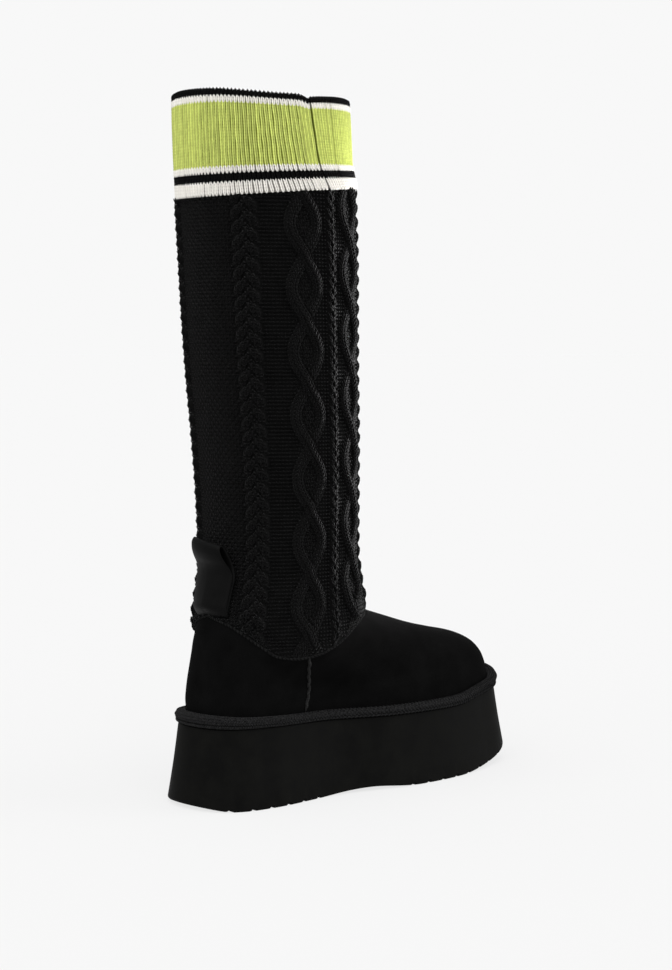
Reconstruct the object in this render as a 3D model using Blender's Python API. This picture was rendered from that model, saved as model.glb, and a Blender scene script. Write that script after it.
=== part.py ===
"""Sweater boot for the right foot: a knitted shaft with a striped ribbed cuff, a suede foot and a flared platform.

+X points to the toe, +Y to the wearer's left, which is the inner side, and Z = 0 is the floor.
All sizes are metres.
"""

import math
from collections import namedtuple

import bmesh
import bpy
import numpy as np

# Platform sole
SOLE_LENGTH = 0.285
BALL_WIDTH = 0.107
HEEL_THICKNESS = 0.0528
WAIST_THICKNESS = 0.0491
BALL_THICKNESS = 0.0484
TOE_SHOULDER_HEIGHT = 0.0551
TOE_DECK_HEIGHT = 0.0597
TOE_SPRING = 0.014
HEEL_SPRING = 0.003
ARCH_RISE = 0.0025
FLARE = 0.0074
SOLE_EDGE = 0.0016
TREAD_PITCH = 0.014
TREAD_GROOVE_WIDTH = 0.0045
TREAD_DEPTH = 0.0025

# Binding strip round the platform's top edge
BINDING_WIDTH = 0.0069
BINDING_HEIGHT = 0.0076
BINDING_PROUD = 0.0017

# Insole and suede upper
INSOLE_THICKNESS = 0.004
UPPER_WALL = 0.003
COLLAR_HEIGHT = 0.1222
COLLAR_TILT = -0.0018
COLLAR_LENGTH = 0.128
COLLAR_WIDTH = 0.093
COLLAR_SETBACK = 0.0215
SCOOP_DEPTH = 0.0268
SIDE_SEAM_TOP_SETBACK = 0.0695
SIDE_SEAM_FOOT_SETBACK = 0.081
SIDE_SEAM_WIDTH = 0.0026
SIDE_SEAM_RAISE = 0.0009

# Knitted shaft and ribbed cuff
BOOT_HEIGHT = 0.459
TOP_TILT = -0.003
SHAFT_LENGTH = 0.1265
SHAFT_WIDTH = 0.1096
SHAFT_LEAN = 0.0172
SHAFT_WALL = 0.003
CUFF_HEIGHT = 0.0595
CUFF_TILT = 0.005
CUFF_WALL = 0.004

# Pull tab sewn into the heel of the collar seam
TAB_WIDTH = 0.032
TAB_TOP_WIDTH = 0.028
TAB_OFFSET = -0.0028
TAB_HEIGHT = 0.048
TAB_LIFT = 0.0085
TAB_THICKNESS = 0.0014
TAB_CLEARANCE = 0.0005

# Gap left between two pieces that touch
GAP = 0.0003

# Places along the boot, set back from the heel's end of the sole
COLLAR_BACK_X = COLLAR_SETBACK - SOLE_LENGTH / 2
COLLAR_FRONT_X = COLLAR_BACK_X + COLLAR_LENGTH
SIDE_SEAM_TOP_X = SIDE_SEAM_TOP_SETBACK - SOLE_LENGTH / 2
SIDE_SEAM_FOOT_X = SIDE_SEAM_FOOT_SETBACK - SOLE_LENGTH / 2

# Columns of faces round every ring, and the one that runs down each side seam
COLUMNS = 64
SEAM_COLUMN = 19

# Half widths of the footprint as shares of the ball width, from the heel at -1 to the toe at 1
Footprint = namedtuple("Footprint", "along outer inner")
FOOTPRINT = (
    Footprint(-1.00, 0.78, 0.78),
    Footprint(-0.70, 0.53, 0.55),
    Footprint(-0.30, 0.39, 0.38),
    Footprint(0.06, 0.49, 0.42),
    Footprint(0.38, 0.550, 0.505),
    Footprint(0.70, 0.595, 0.62),
    Footprint(1.00, 0.78, 0.98),
)

# How far the tread lifts off the floor, as shares of the heel spring, the arch rise and the toe spring
Underside = namedtuple("Underside", "along heel arch toe")
UNDERSIDE = (
    Underside(-1.00, 1.0, 0.0, 0.00),
    Underside(-0.88, 0.0, 0.0, 0.00),
    Underside(-0.42, 0.0, 0.0, 0.00),
    Underside(-0.10, 0.0, 1.0, 0.00),
    Underside(0.17, 0.0, 0.0, 0.00),
    Underside(0.46, 0.0, 0.0, 0.00),
    Underside(0.70, 0.0, 0.0, 0.23),
    Underside(0.86, 0.0, 0.0, 0.58),
    Underside(1.00, 0.0, 0.0, 1.00),
)

# The deck of the platform, from the heel to the toe
Deck = namedtuple("Deck", "along height")
DECK = (
    Deck(-1.00, HEEL_THICKNESS),
    Deck(-0.10, WAIST_THICKNESS),
    Deck(0.40, BALL_THICKNESS),
    Deck(0.86, TOE_SHOULDER_HEIGHT),
    Deck(1.00, TOE_DECK_HEIGHT),
)

# Side of the platform from the tread up: level between the two faces, then shares of the edge radius
SoleSide = namedtuple("SoleSide", "level rise tuck")
SOLE_SIDE = (
    SoleSide(0.0, 0.0, 1.0),
    SoleSide(0.0, 0.3, 0.3),
    SoleSide(0.0, 1.0, 0.0),
    SoleSide(0.5, 0.0, 0.15),
    SoleSide(1.0, -1.0, 0.0),
    SoleSide(1.0, 0.0, 0.7),
)

# Stretches of the tread that are grooved, as shares of half the sole length
Tread = namedtuple("Tread", "start end")
TREAD = (
    Tread(-0.90, -0.38),
    Tread(0.12, 0.93),
)

# Section of the binding, as shares of its width outwards and of its height
Binding = namedtuple("Binding", "out up")
BINDING = (
    Binding(0.0, 0.0),
    Binding(0.0, 0.86),
    Binding(0.22, 1.0),
    Binding(0.62, 0.98),
    Binding(0.92, 0.78),
    Binding(1.0, 0.45),
    Binding(0.90, 0.10),
    Binding(0.76, 0.0),
)

# Depth of the scoop in the collar seam against the turn from the toe, in degrees
Scoop = namedtuple("Scoop", "turn share")
SCOOP = (
    Scoop(0, 0.0),
    Scoop(45, 0.10),
    Scoop(60, 0.27),
    Scoop(84, 0.74),
    Scoop(98, 0.93),
    Scoop(112, 1.0),
    Scoop(124, 0.95),
    Scoop(136, 0.70),
    Scoop(148, 0.42),
    Scoop(160, 0.20),
    Scoop(180, 0.0),
)

# Rings of the suede foot, from the binding to the collar: how far the heel and the vamp have risen
# and moved in, what is left of the footprint's shape, and the width at the toe's end
FootRing = namedtuple("FootRing", "back_rise front_rise back_in front_in footprint width")
FOOT_RINGS = (
    FootRing(0.00, 0.000, 0.00, 0.000, 1.00, 1.00),
    FootRing(0.11, 0.130, -0.06, 0.000, 1.00, 1.00),
    FootRing(0.22, 0.275, 0.00, 0.020, 0.96, 1.00),
    FootRing(0.33, 0.425, 0.08, 0.080, 0.87, 0.96),
    FootRing(0.44, 0.555, 0.20, 0.205, 0.74, 0.93),
    FootRing(0.55, 0.655, 0.34, 0.390, 0.58, 0.89),
    FootRing(0.66, 0.760, 0.50, 0.600, 0.42, 0.87),
    FootRing(0.78, 0.865, 0.66, 0.780, 0.27, 0.90),
    FootRing(0.89, 0.942, 0.84, 0.910, 0.12, 0.95),
    FootRing(1.00, 1.000, 1.00, 1.000, 0.00, 1.00),
)

# Rings of the knitted shaft between the collar and the cuff: shares of the climb, the lean back,
# the length, the width and the scoop
ShaftRing = namedtuple("ShaftRing", "climb lean length width scoop")
SHAFT_RINGS = (
    ShaftRing(0.023, 0.09, 1.021, 0.894, 0.90),
    ShaftRing(0.049, 0.08, 0.996, 0.894, 0.75),
    ShaftRing(0.083, 0.08, 0.960, 0.880, 0.52),
    ShaftRing(0.133, 0.07, 0.914, 0.876, 0.27),
    ShaftRing(0.205, 0.09, 0.908, 0.890, 0.08),
    ShaftRing(0.300, 0.13, 0.915, 0.908, 0.0),
    ShaftRing(0.425, 0.22, 0.935, 0.931, 0.0),
    ShaftRing(0.570, 0.37, 0.956, 0.958, 0.0),
    ShaftRing(0.713, 0.48, 0.978, 0.976, 0.0),
    ShaftRing(0.856, 0.57, 0.992, 0.991, 0.0),
    ShaftRing(1.000, 0.70, 1.000, 1.000, 0.0),
)

# The collar seam as the first of those rings
COLLAR_RING = ShaftRing(0.0, 0.0, COLLAR_LENGTH / SHAFT_LENGTH, COLLAR_WIDTH / SHAFT_WIDTH, 1.0)

# Rings of the cuff above that
CuffRing = namedtuple("CuffRing", "climb lean length width")
CUFF_RINGS = (
    CuffRing(0.33, 0.77, 1.004, 1.000),
    CuffRing(0.67, 0.83, 1.004, 0.997),
    CuffRing(1.00, 0.88, 1.000, 0.987),
)

# The pull tab lies against the knit up to this share of its height
TAB_SEWN = 0.55

# The rest of its strap, up the outer layer, over the fold and down the inner one: whether a fold lies
# in the outer layer, how much of the lift it has, and how high up the tab it is
TabFold = namedtuple("TabFold", "layer out up")
TAB_FOLDS = (
    TabFold(1.0, 0.10, 0.58),
    TabFold(1.0, 0.38, 0.69),
    TabFold(1.0, 0.74, 0.79),
    TabFold(1.0, 0.95, 0.88),
    TabFold(0.9, 1.00, 0.95),
    TabFold(0.5, 0.88, 1.00),
    TabFold(0.0, 0.68, 0.97),
    TabFold(0.0, 0.44, 0.88),
    TabFold(0.0, 0.20, 0.77),
    TabFold(0.0, 0.05, 0.65),
)
TAB_STATIONS = 7


def smooth(rows, column, at):
    """Value of a table's column at a place, on a curve through its rows that never overshoots them."""
    places = [row[0] for row in rows]
    values = [getattr(row, column) for row in rows]
    spans = [places[k + 1] - places[k] for k in range(len(rows) - 1)]
    slopes = [(values[k + 1] - values[k]) / spans[k] for k in range(len(spans))]
    tangents = [slopes[0]]
    for before, after in zip(slopes, slopes[1:]):
        tangents.append(2 * before * after / (before + after) if before * after > 0 else 0.0)
    tangents.append(slopes[-1])
    at = min(max(at, places[0]), places[-1])
    k = max(i for i in range(len(spans)) if places[i] <= at)
    t = (at - places[k]) / spans[k]
    return (
        values[k] * (1 + 2 * t) * (1 - t) ** 2
        + values[k + 1] * t * t * (3 - 2 * t)
        + tangents[k] * spans[k] * t * (1 - t) ** 2
        - tangents[k + 1] * spans[k] * t * t * (1 - t)
    )


def mix(first, second, share):
    return first + (second - first) * share


def remove_everything():
    for item in list(bpy.data.objects):
        bpy.data.objects.remove(item, do_unlink=True)


def material(name, colour, roughness, metallic=0.0):
    made = bpy.data.materials.new(name)
    made.use_nodes = True
    shader = made.node_tree.nodes["Principled BSDF"]
    shader.inputs["Base Color"].default_value = (*colour, 1.0)
    shader.inputs["Roughness"].default_value = roughness
    shader.inputs["Metallic"].default_value = metallic
    return made


def add_object(name, shell, finish):
    """Turns a bmesh into a smooth-shaded object with its faces out."""
    bmesh.ops.recalc_face_normals(shell, faces=shell.faces)
    mesh = bpy.data.meshes.new(name)
    shell.to_mesh(mesh)
    shell.free()
    mesh.shade_smooth()
    mesh.set_sharp_from_angle(angle=math.radians(40))
    mesh.materials.append(finish)
    made = bpy.data.objects.new(name, mesh)
    bpy.context.scene.collection.objects.link(made)
    return made


def column_angles():
    """Turns round the boot from the toe, with four more columns at each side seam for its raised fold."""
    step = 2 * math.pi / COLUMNS
    edge = SIDE_SEAM_WIDTH / SHAFT_LENGTH
    turns = [k * step for k in range(COLUMNS)]
    for seam in (SEAM_COLUMN * step, 2 * math.pi - SEAM_COLUMN * step):
        turns += [seam - edge, seam - edge / 2, seam + edge / 2, seam + edge]
    return sorted(turns)


TURNS = column_angles()
SEAM_TURN = 2 * math.pi * SEAM_COLUMN / COLUMNS


def seam_fold(turn):
    """1 on the columns of a side seam's raised fold, 0 elsewhere."""
    from_seam = abs(min(turn, 2 * math.pi - turn) - SEAM_TURN)
    return 1.0 if from_seam < 0.75 * SIDE_SEAM_WIDTH / SHAFT_LENGTH else 0.0


def deck_height(x):
    return smooth(DECK, "height", 2 * x / SOLE_LENGTH)


def tread_lift(x):
    along = 2 * x / SOLE_LENGTH
    return (
        HEEL_SPRING * smooth(UNDERSIDE, "heel", along)
        + ARCH_RISE * smooth(UNDERSIDE, "arch", along)
        + TOE_SPRING * smooth(UNDERSIDE, "toe", along)
    )


def footprint_width(along, side, inset):
    """Half width of the footprint, drawn in by an inset, before it is rounded off at its ends."""
    column = "inner" if side > 0 else "outer"
    return BALL_WIDTH * smooth(FOOTPRINT, column, along) - inset


def footprint_ring(inset):
    """The footprint drawn in by an inset, as columns of x and y."""
    points = []
    for turn in TURNS:
        along = math.cos(turn)
        half = footprint_width(along, math.sin(turn), inset)
        points.append(((SOLE_LENGTH / 2 - inset) * along, math.sin(turn) * half))
    return points


def loft(rings, caps=False):
    """Faces between rings of equal length. Without caps the last ring joins the first, as on a hollow wall."""
    shell = bmesh.new()
    rows = [[shell.verts.new(point) for point in ring] for ring in rings]
    count = len(rows[0])
    pairs = list(zip(rows, rows[1:]))
    if not caps:
        pairs.append((rows[-1], rows[0]))
    for low, high in pairs:
        for j in range(count):
            k = (j + 1) % count
            shell.faces.new((low[j], low[k], high[k], high[j]))
    if caps:
        for row in (rows[0], rows[-1]):
            close_across(shell, row)
    return shell


def close_across(shell, row):
    """Closes a ring with strips that run straight across it, from each column to the one opposite."""
    count = len(row)
    half = count // 2
    shell.faces.new((row[0], row[1], row[count - 1]))
    for j in range(1, half - 1):
        shell.faces.new((row[j], row[j + 1], row[count - j - 1], row[count - j]))
    shell.faces.new((row[half - 1], row[half], row[half + 1]))


def add_sole(finish):
    rings = []
    for side in SOLE_SIDE:
        ring = []
        for x, y in footprint_ring(FLARE * side.level + SOLE_EDGE * side.tuck):
            z = mix(tread_lift(x), deck_height(x), side.level) + SOLE_EDGE * side.rise
            ring.append((x, y, z))
        rings.append(ring)
    sole = add_object("sole", loft(rings, caps=True), finish)
    cut = sole.modifiers.new("tread grooves", "BOOLEAN")
    cut.operation = "DIFFERENCE"
    cut.object = tread_cutter()
    return sole


def groove_places():
    """Middles of the tread grooves along the sole."""
    places = []
    for stretch in TREAD:
        x = stretch.start * SOLE_LENGTH / 2
        while x <= stretch.end * SOLE_LENGTH / 2:
            places.append(x)
            x += TREAD_PITCH
    return places


def tread_cutter():
    """Bars across the sole, each reaching the tread depth into it and well below it."""
    shell = bmesh.new()
    for middle in groove_places():
        rows = []
        for x in (middle - TREAD_GROOVE_WIDTH / 2, middle + TREAD_GROOVE_WIDTH / 2):
            top = tread_lift(x) + TREAD_DEPTH
            bottom = -2 * TREAD_DEPTH
            corners = ((-BALL_WIDTH, bottom), (BALL_WIDTH, bottom), (BALL_WIDTH, top), (-BALL_WIDTH, top))
            rows.append([shell.verts.new((x, y, z)) for y, z in corners])
        back, front = rows
        shell.faces.new(back)
        shell.faces.new(front)
        for j in range(4):
            k = (j + 1) % 4
            shell.faces.new((back[j], back[k], front[k], front[j]))
    bmesh.ops.recalc_face_normals(shell, faces=shell.faces)
    mesh = bpy.data.meshes.new("tread cutter")
    shell.to_mesh(mesh)
    shell.free()
    cutter = bpy.data.objects.new("tread cutter", mesh)
    bpy.context.scene.collection.objects.link(cutter)
    cutter.hide_render = True
    cutter.display_type = "WIRE"
    return cutter


def add_binding(finish):
    rings = []
    for point in BINDING:
        inset = FLARE - BINDING_PROUD + BINDING_WIDTH * (1 - point.out)
        rise = GAP + BINDING_HEIGHT * point.up
        rings.append([(x, y, deck_height(x) + rise) for x, y in footprint_ring(inset)])
    return add_object("binding", loft(rings), finish)


def scoop(along):
    return SCOOP_DEPTH * smooth(SCOOP, "share", math.degrees(math.acos(along)))


def collar_line(along):
    """Height of the seam between suede and knit, before the scoop at the sides."""
    return COLLAR_HEIGHT + COLLAR_TILT * along


def cuff_line(along):
    return BOOT_HEIGHT - CUFF_HEIGHT + CUFF_TILT * along


def top_line(along):
    return BOOT_HEIGHT + TOP_TILT * along


def warped(turn, seam_along):
    """Cosine of a turn, eased so that the side seam's column falls where the seam runs."""
    along = math.cos(turn)
    at_seam = math.cos(SEAM_TURN)
    along += (seam_along - at_seam) / (1 - at_seam**2) * (1 - along**2)
    return min(max(along, -1.0), 1.0)


def foot_ring(row):
    """One ring of the suede foot, between the binding and the collar."""
    inset = FLARE - BINDING_PROUD + BINDING_WIDTH + GAP
    end = SOLE_LENGTH / 2 - inset
    front = mix(end, COLLAR_FRONT_X, row.front_in)
    back = mix(-end, COLLAR_BACK_X, row.back_in)
    middle, half_length = (front + back) / 2, (front - back) / 2
    seam_x = mix(SIDE_SEAM_FOOT_X, SIDE_SEAM_TOP_X, row.back_rise)
    ring = []
    for turn in TURNS:
        along = warped(turn, (seam_x - middle) / half_length)
        side = math.copysign(1.0, math.sin(turn))
        half_width = mix(COLLAR_WIDTH / 2, footprint_width(along, side, inset), row.footprint)
        half_width *= mix(1.0, row.width, (1 + along) / 2)
        x = middle + half_length * along
        low = deck_height(x) + GAP + BINDING_HEIGHT
        high = collar_line(along) - scoop(along)
        rise = mix(row.back_rise, row.front_rise, ((1 + along) / 2) ** 2)
        ring.append((x, side * math.sqrt(1 - along**2) * half_width, mix(low, high, rise)))
    return ring


def tube_middle(lean):
    """Where the shaft's middle is along the boot, for a share of its lean back."""
    return (COLLAR_FRONT_X + COLLAR_BACK_X) / 2 - SHAFT_LEAN * lean


def tube_ring(row, height):
    """One ring of the shaft or the cuff, an ellipse with a height that depends on the turn."""
    middle = tube_middle(row.lean)
    ring = []
    for turn in TURNS:
        along = math.cos(turn)
        x = middle + SHAFT_LENGTH / 2 * row.length * along
        y = SHAFT_WIDTH / 2 * row.width * math.sin(turn)
        ring.append((x, y, height(along)))
    return ring


def body_rings():
    """Outer surface of upper, shaft and cuff in one run of rings, and the places of their two seams."""
    bottom = foot_ring(FOOT_RINGS[0])
    foot = [[(x, y, deck_height(x) + GAP) for x, y, _ in bottom]]
    foot += [foot_ring(row) for row in FOOT_RINGS]
    shaft = []
    for row in SHAFT_RINGS:

        def height(along, row=row):
            return mix(collar_line(along), cuff_line(along), row.climb) - row.scoop * scoop(along)

        shaft.append(tube_ring(row, height))
    cuff = []
    for row in CUFF_RINGS:

        def height(along, row=row):
            return mix(cuff_line(along), top_line(along), row.climb)

        cuff.append(tube_ring(row, height))
    rings = np.array(foot + shaft + cuff)
    return rings, len(foot) - 1, len(foot) + len(shaft) - 1


def outward(rings):
    """Unit normals of a grid of rings, each row running round the boot and the rows going up."""
    around = np.roll(rings, -1, axis=1) - np.roll(rings, 1, axis=1)
    upward = np.gradient(rings, axis=0)
    normals = np.cross(around, upward)
    return normals / np.linalg.norm(normals, axis=2, keepdims=True)


def shortened(rings, at_start, at_end):
    """Draws the first or the last ring back along its columns, for half the gap of a seam."""
    cut = rings.copy()
    if at_start:
        step = rings[1] - rings[0]
        cut[0] += step / np.linalg.norm(step, axis=1, keepdims=True) * GAP / 2
    if at_end:
        step = rings[-2] - rings[-1]
        cut[-1] += step / np.linalg.norm(step, axis=1, keepdims=True) * GAP / 2
    return cut


def hollow_wall(name, outer, normals, wall, finish, open_start, open_end):
    """A piece of the boot's wall: its outer rings up, and the same rings a wall's thickness in, down."""
    inner = shortened(outer - wall * normals, open_start, open_end)
    outer = shortened(outer, open_start, open_end)
    return add_object(name, loft(list(outer) + list(inner[::-1])), finish)


def add_upper(rings, normals, collar, finish):
    """The suede foot, with its side seams raised between the binding and the collar."""
    outer = rings[: collar + 1].copy()
    folds = np.array([seam_fold(turn) for turn in TURNS])
    for k in range(2, collar):
        outer[k] += normals[k] * (SIDE_SEAM_RAISE * folds)[:, None]
    inner = rings[: collar + 1] - UPPER_WALL * normals[: collar + 1]
    walls = list(shortened(outer, False, True)) + list(shortened(inner, False, True)[::-1])
    return add_object("upper", loft(walls), finish)


def add_insole(rings, normals, finish):
    """A footbed on the deck, inside the upper's lower edge."""
    edge = rings[0] - (UPPER_WALL + GAP) * normals[0]
    raised = edge + np.array((0.0, 0.0, INSOLE_THICKNESS))
    return add_object("insole", loft([edge, raised], caps=True), finish)


def heel_climb():
    """Height of the knit at the heel, from the collar seam to the cuff."""
    return cuff_line(-1.0) - collar_line(-1.0)


def tab_surface(across, up, out):
    """A point on the shaft's heel, at a height above the collar seam and a distance out from the knit."""
    climb = (GAP + up) / heel_climb()
    rows = (COLLAR_RING, *SHAFT_RINGS)
    half_length = SHAFT_LENGTH / 2 * smooth(rows, "length", climb)
    half_width = SHAFT_WIDTH / 2 * smooth(rows, "width", climb)
    along = -math.sqrt(1 - (across / half_width) ** 2)
    x = tube_middle(smooth(rows, "lean", climb)) + half_length * along - out
    z = mix(collar_line(along), cuff_line(along), climb) - smooth(rows, "scoop", climb) * scoop(along)
    return x, across, z


def tab_middle_line():
    """The middle of the strap as distances out and up: against each ring of the knit, then free."""
    seat = TAB_CLEARANCE + TAB_THICKNESS / 2
    over = TAB_THICKNESS + GAP
    sewn = [0.0]
    for ring in SHAFT_RINGS:
        up = ring.climb * heel_climb() - GAP
        if up < TAB_SEWN * TAB_HEIGHT:
            sewn.append(up)
    line = [(seat + over, up) for up in sewn]
    line += [(seat + fold.layer * over + fold.out * TAB_LIFT, fold.up * TAB_HEIGHT) for fold in TAB_FOLDS]
    line += [(seat, up) for up in reversed(sewn)]
    return np.array(line)


def add_pull_tab(finish):
    """A strap folded in two, its ends in the collar seam and its fold standing out from the heel."""
    middle = tab_middle_line()
    left, right = [], []
    for k, point in enumerate(middle):
        run = middle[min(k + 1, len(middle) - 1)] - middle[max(k - 1, 0)]
        side = np.array((-run[1], run[0])) / np.linalg.norm(run) * TAB_THICKNESS / 2
        left.append(point + side)
        right.append(point - side)
    outline = left + right[::-1]
    rings = []
    for station in range(TAB_STATIONS):
        share = 2 * station / (TAB_STATIONS - 1) - 1
        ring = []
        for out, up in outline:
            half = mix(TAB_WIDTH, TAB_TOP_WIDTH, max(up, 0.0) / TAB_HEIGHT) / 2
            ring.append(tab_surface(TAB_OFFSET + share * half, up, out))
        rings.append(ring)
    shell = bmesh.new()
    rows = [[shell.verts.new(point) for point in ring] for ring in rings]
    count = len(outline)
    for first, second in zip(rows, rows[1:]):
        for j in range(count):
            k = (j + 1) % count
            shell.faces.new((first[j], first[k], second[k], second[j]))
    for row in (rows[0], rows[-1]):
        for j in range(len(middle) - 1):
            shell.faces.new((row[j], row[j + 1], row[count - j - 2], row[count - j - 1]))
    return add_object("pull_tab", shell, finish)


def build():
    remove_everything()
    foam = material("platform foam", (0.012, 0.012, 0.012), 0.75)
    textile = material("binding textile", (0.02, 0.02, 0.021), 0.9)
    suede = material("black suede", (0.006, 0.006, 0.006), 0.95)
    lining = material("footbed fabric", (0.02, 0.02, 0.02), 0.95)
    knit = material("black knit", (0.008, 0.008, 0.008), 0.95)
    rib = material("green rib knit", (0.42, 0.60, 0.08), 0.9)
    strap = material("tab strap", (0.012, 0.012, 0.012), 0.8)
    rings, collar, cuff_seam = body_rings()
    normals = outward(rings)
    add_sole(foam)
    add_binding(textile)
    add_upper(rings, normals, collar, suede)
    add_insole(rings, normals, lining)
    shaft = slice(collar, cuff_seam + 1)
    hollow_wall("shaft", rings[shaft], normals[shaft], SHAFT_WALL, knit, True, True)
    cuff = slice(cuff_seam, len(rings))
    hollow_wall("cuff", rings[cuff], normals[cuff], CUFF_WALL, rib, True, False)
    add_pull_tab(strap)


build()
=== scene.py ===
"""Looks of the right sweater boot: moulded platform, bound edge, suede foot, cable-knit shaft and striped cuff.

+X points to the toe, +Y to the inner side and Z = 0 is the floor. All sizes are metres.
"""

import math
from collections import namedtuple

import bpy
import numpy as np
from mathutils import Matrix


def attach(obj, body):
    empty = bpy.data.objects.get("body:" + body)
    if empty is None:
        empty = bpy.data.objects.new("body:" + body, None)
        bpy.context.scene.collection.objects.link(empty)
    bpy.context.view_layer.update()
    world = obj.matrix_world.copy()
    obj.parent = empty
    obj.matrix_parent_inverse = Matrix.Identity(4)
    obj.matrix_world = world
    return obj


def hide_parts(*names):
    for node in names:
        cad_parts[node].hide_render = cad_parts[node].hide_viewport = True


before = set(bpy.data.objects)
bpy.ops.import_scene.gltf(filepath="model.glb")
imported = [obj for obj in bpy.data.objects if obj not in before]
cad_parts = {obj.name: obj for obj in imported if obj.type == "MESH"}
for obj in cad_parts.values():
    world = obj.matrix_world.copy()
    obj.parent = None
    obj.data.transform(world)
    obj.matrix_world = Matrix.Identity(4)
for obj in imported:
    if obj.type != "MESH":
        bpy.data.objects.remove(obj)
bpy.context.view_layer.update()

# Platform sole
# One flared block of foam, moulded with cross grooves in its tread and a rounded lower edge. It is cemented
# to the foot above, and its matt skin shows a faint mottling from the mould.
SOLE_LENGTH = 0.285
BALL_WIDTH = 0.107
HEEL_SPRING = 0.003
ARCH_RISE = 0.0025
TOE_SPRING = 0.014
FLARE = 0.0074
SOLE_EDGE = 0.0022
SOLE_COLUMNS = 300
TREAD_PITCH = 0.014
TREAD_GROOVE_WIDTH = 0.0045
TREAD_GROOVE_SPLAY = 0.0022
TREAD_DEPTH = 0.0025
TREAD_STRETCHES = ((-0.90, -0.38), (0.12, 0.93))

Footprint = namedtuple("Footprint", "along outer inner")
FOOTPRINT = (
    Footprint(-1.00, 0.78, 0.78),
    Footprint(-0.70, 0.53, 0.55),
    Footprint(-0.30, 0.39, 0.38),
    Footprint(0.06, 0.49, 0.42),
    Footprint(0.38, 0.550, 0.505),
    Footprint(0.70, 0.595, 0.62),
    Footprint(1.00, 0.78, 0.98),
)

Level = namedtuple("Level", "along heel arch toe deck")
LEVELS = (
    Level(-1.00, 1.0, 0.0, 0.00, 0.0528),
    Level(-0.88, 0.0, 0.0, 0.00, 0.0527),
    Level(-0.42, 0.0, 0.0, 0.00, 0.0507),
    Level(-0.10, 0.0, 1.0, 0.00, 0.0491),
    Level(0.17, 0.0, 0.0, 0.00, 0.0487),
    Level(0.46, 0.0, 0.0, 0.00, 0.0485),
    Level(0.70, 0.0, 0.0, 0.23, 0.0521),
    Level(0.86, 0.0, 0.0, 0.58, 0.0551),
    Level(1.00, 0.0, 0.0, 1.00, 0.0597),
)

# Side of the platform from the middle of the tread up to the deck: level between them, then shares of
# the rounded edge
SoleSide = namedtuple("SoleSide", "level rise tuck")
SOLE_SIDE = (
    SoleSide(0.0, 0.0, 1.0),
    SoleSide(0.0, 0.10, 0.56),
    SoleSide(0.0, 0.32, 0.25),
    SoleSide(0.0, 0.62, 0.06),
    SoleSide(0.0, 1.0, 0.0),
    SoleSide(0.25, 0.6, 0.10),
    SoleSide(0.5, 0.0, 0.15),
    SoleSide(0.75, -0.5, 0.10),
    SoleSide(1.0, -1.0, 0.0),
    SoleSide(1.0, -0.3, 0.12),
    SoleSide(1.0, 0.0, 0.5),
)


def curve(rows, column, at):
    """Values of a table's column at places, on a curve through its rows that never overshoots them."""
    places = np.array([row[0] for row in rows], float)
    values = np.array([getattr(row, column) for row in rows], float)
    spans = np.diff(places)
    slopes = np.diff(values) / spans
    before, after = slopes[:-1], slopes[1:]
    level = before * after <= 0
    tangents = np.where(level, 0.0, 2 * before * after / np.where(level, 1.0, before + after))
    tangents = np.concatenate((slopes[:1], tangents, slopes[-1:]))
    at = np.clip(np.asarray(at, float), places[0], places[-1])
    k = np.clip(np.searchsorted(places, at, side="right") - 1, 0, len(spans) - 1)
    t = (at - places[k]) / spans[k]
    return (
        values[k] * (1 + 2 * t) * (1 - t) ** 2
        + values[k + 1] * t * t * (3 - 2 * t)
        + tangents[k] * spans[k] * t * (1 - t) ** 2
        - tangents[k + 1] * spans[k] * t * t * (1 - t)
    )


def mix(first, second, share):
    return first + (second - first) * share


def turns(count):
    """Turns round the boot from the toe."""
    return np.arange(count) * 2 * math.pi / count


def deck_height(x):
    return curve(LEVELS, "deck", 2 * x / SOLE_LENGTH)


def tread_lift(x):
    along = 2 * x / SOLE_LENGTH
    return (
        HEEL_SPRING * curve(LEVELS, "heel", along)
        + ARCH_RISE * curve(LEVELS, "arch", along)
        + TOE_SPRING * curve(LEVELS, "toe", along)
    )


def footprint_width(along, side, inset):
    outer = curve(FOOTPRINT, "outer", along)
    inner = curve(FOOTPRINT, "inner", along)
    return BALL_WIDTH * np.where(side > 0, inner, outer) - inset


def footprint(turn, inset):
    """The footprint drawn in by an inset, as x and y at each turn."""
    along = np.cos(turn)
    half = footprint_width(along, np.sin(turn), inset)
    return (SOLE_LENGTH / 2 - inset) * along, np.sin(turn) * half


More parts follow.
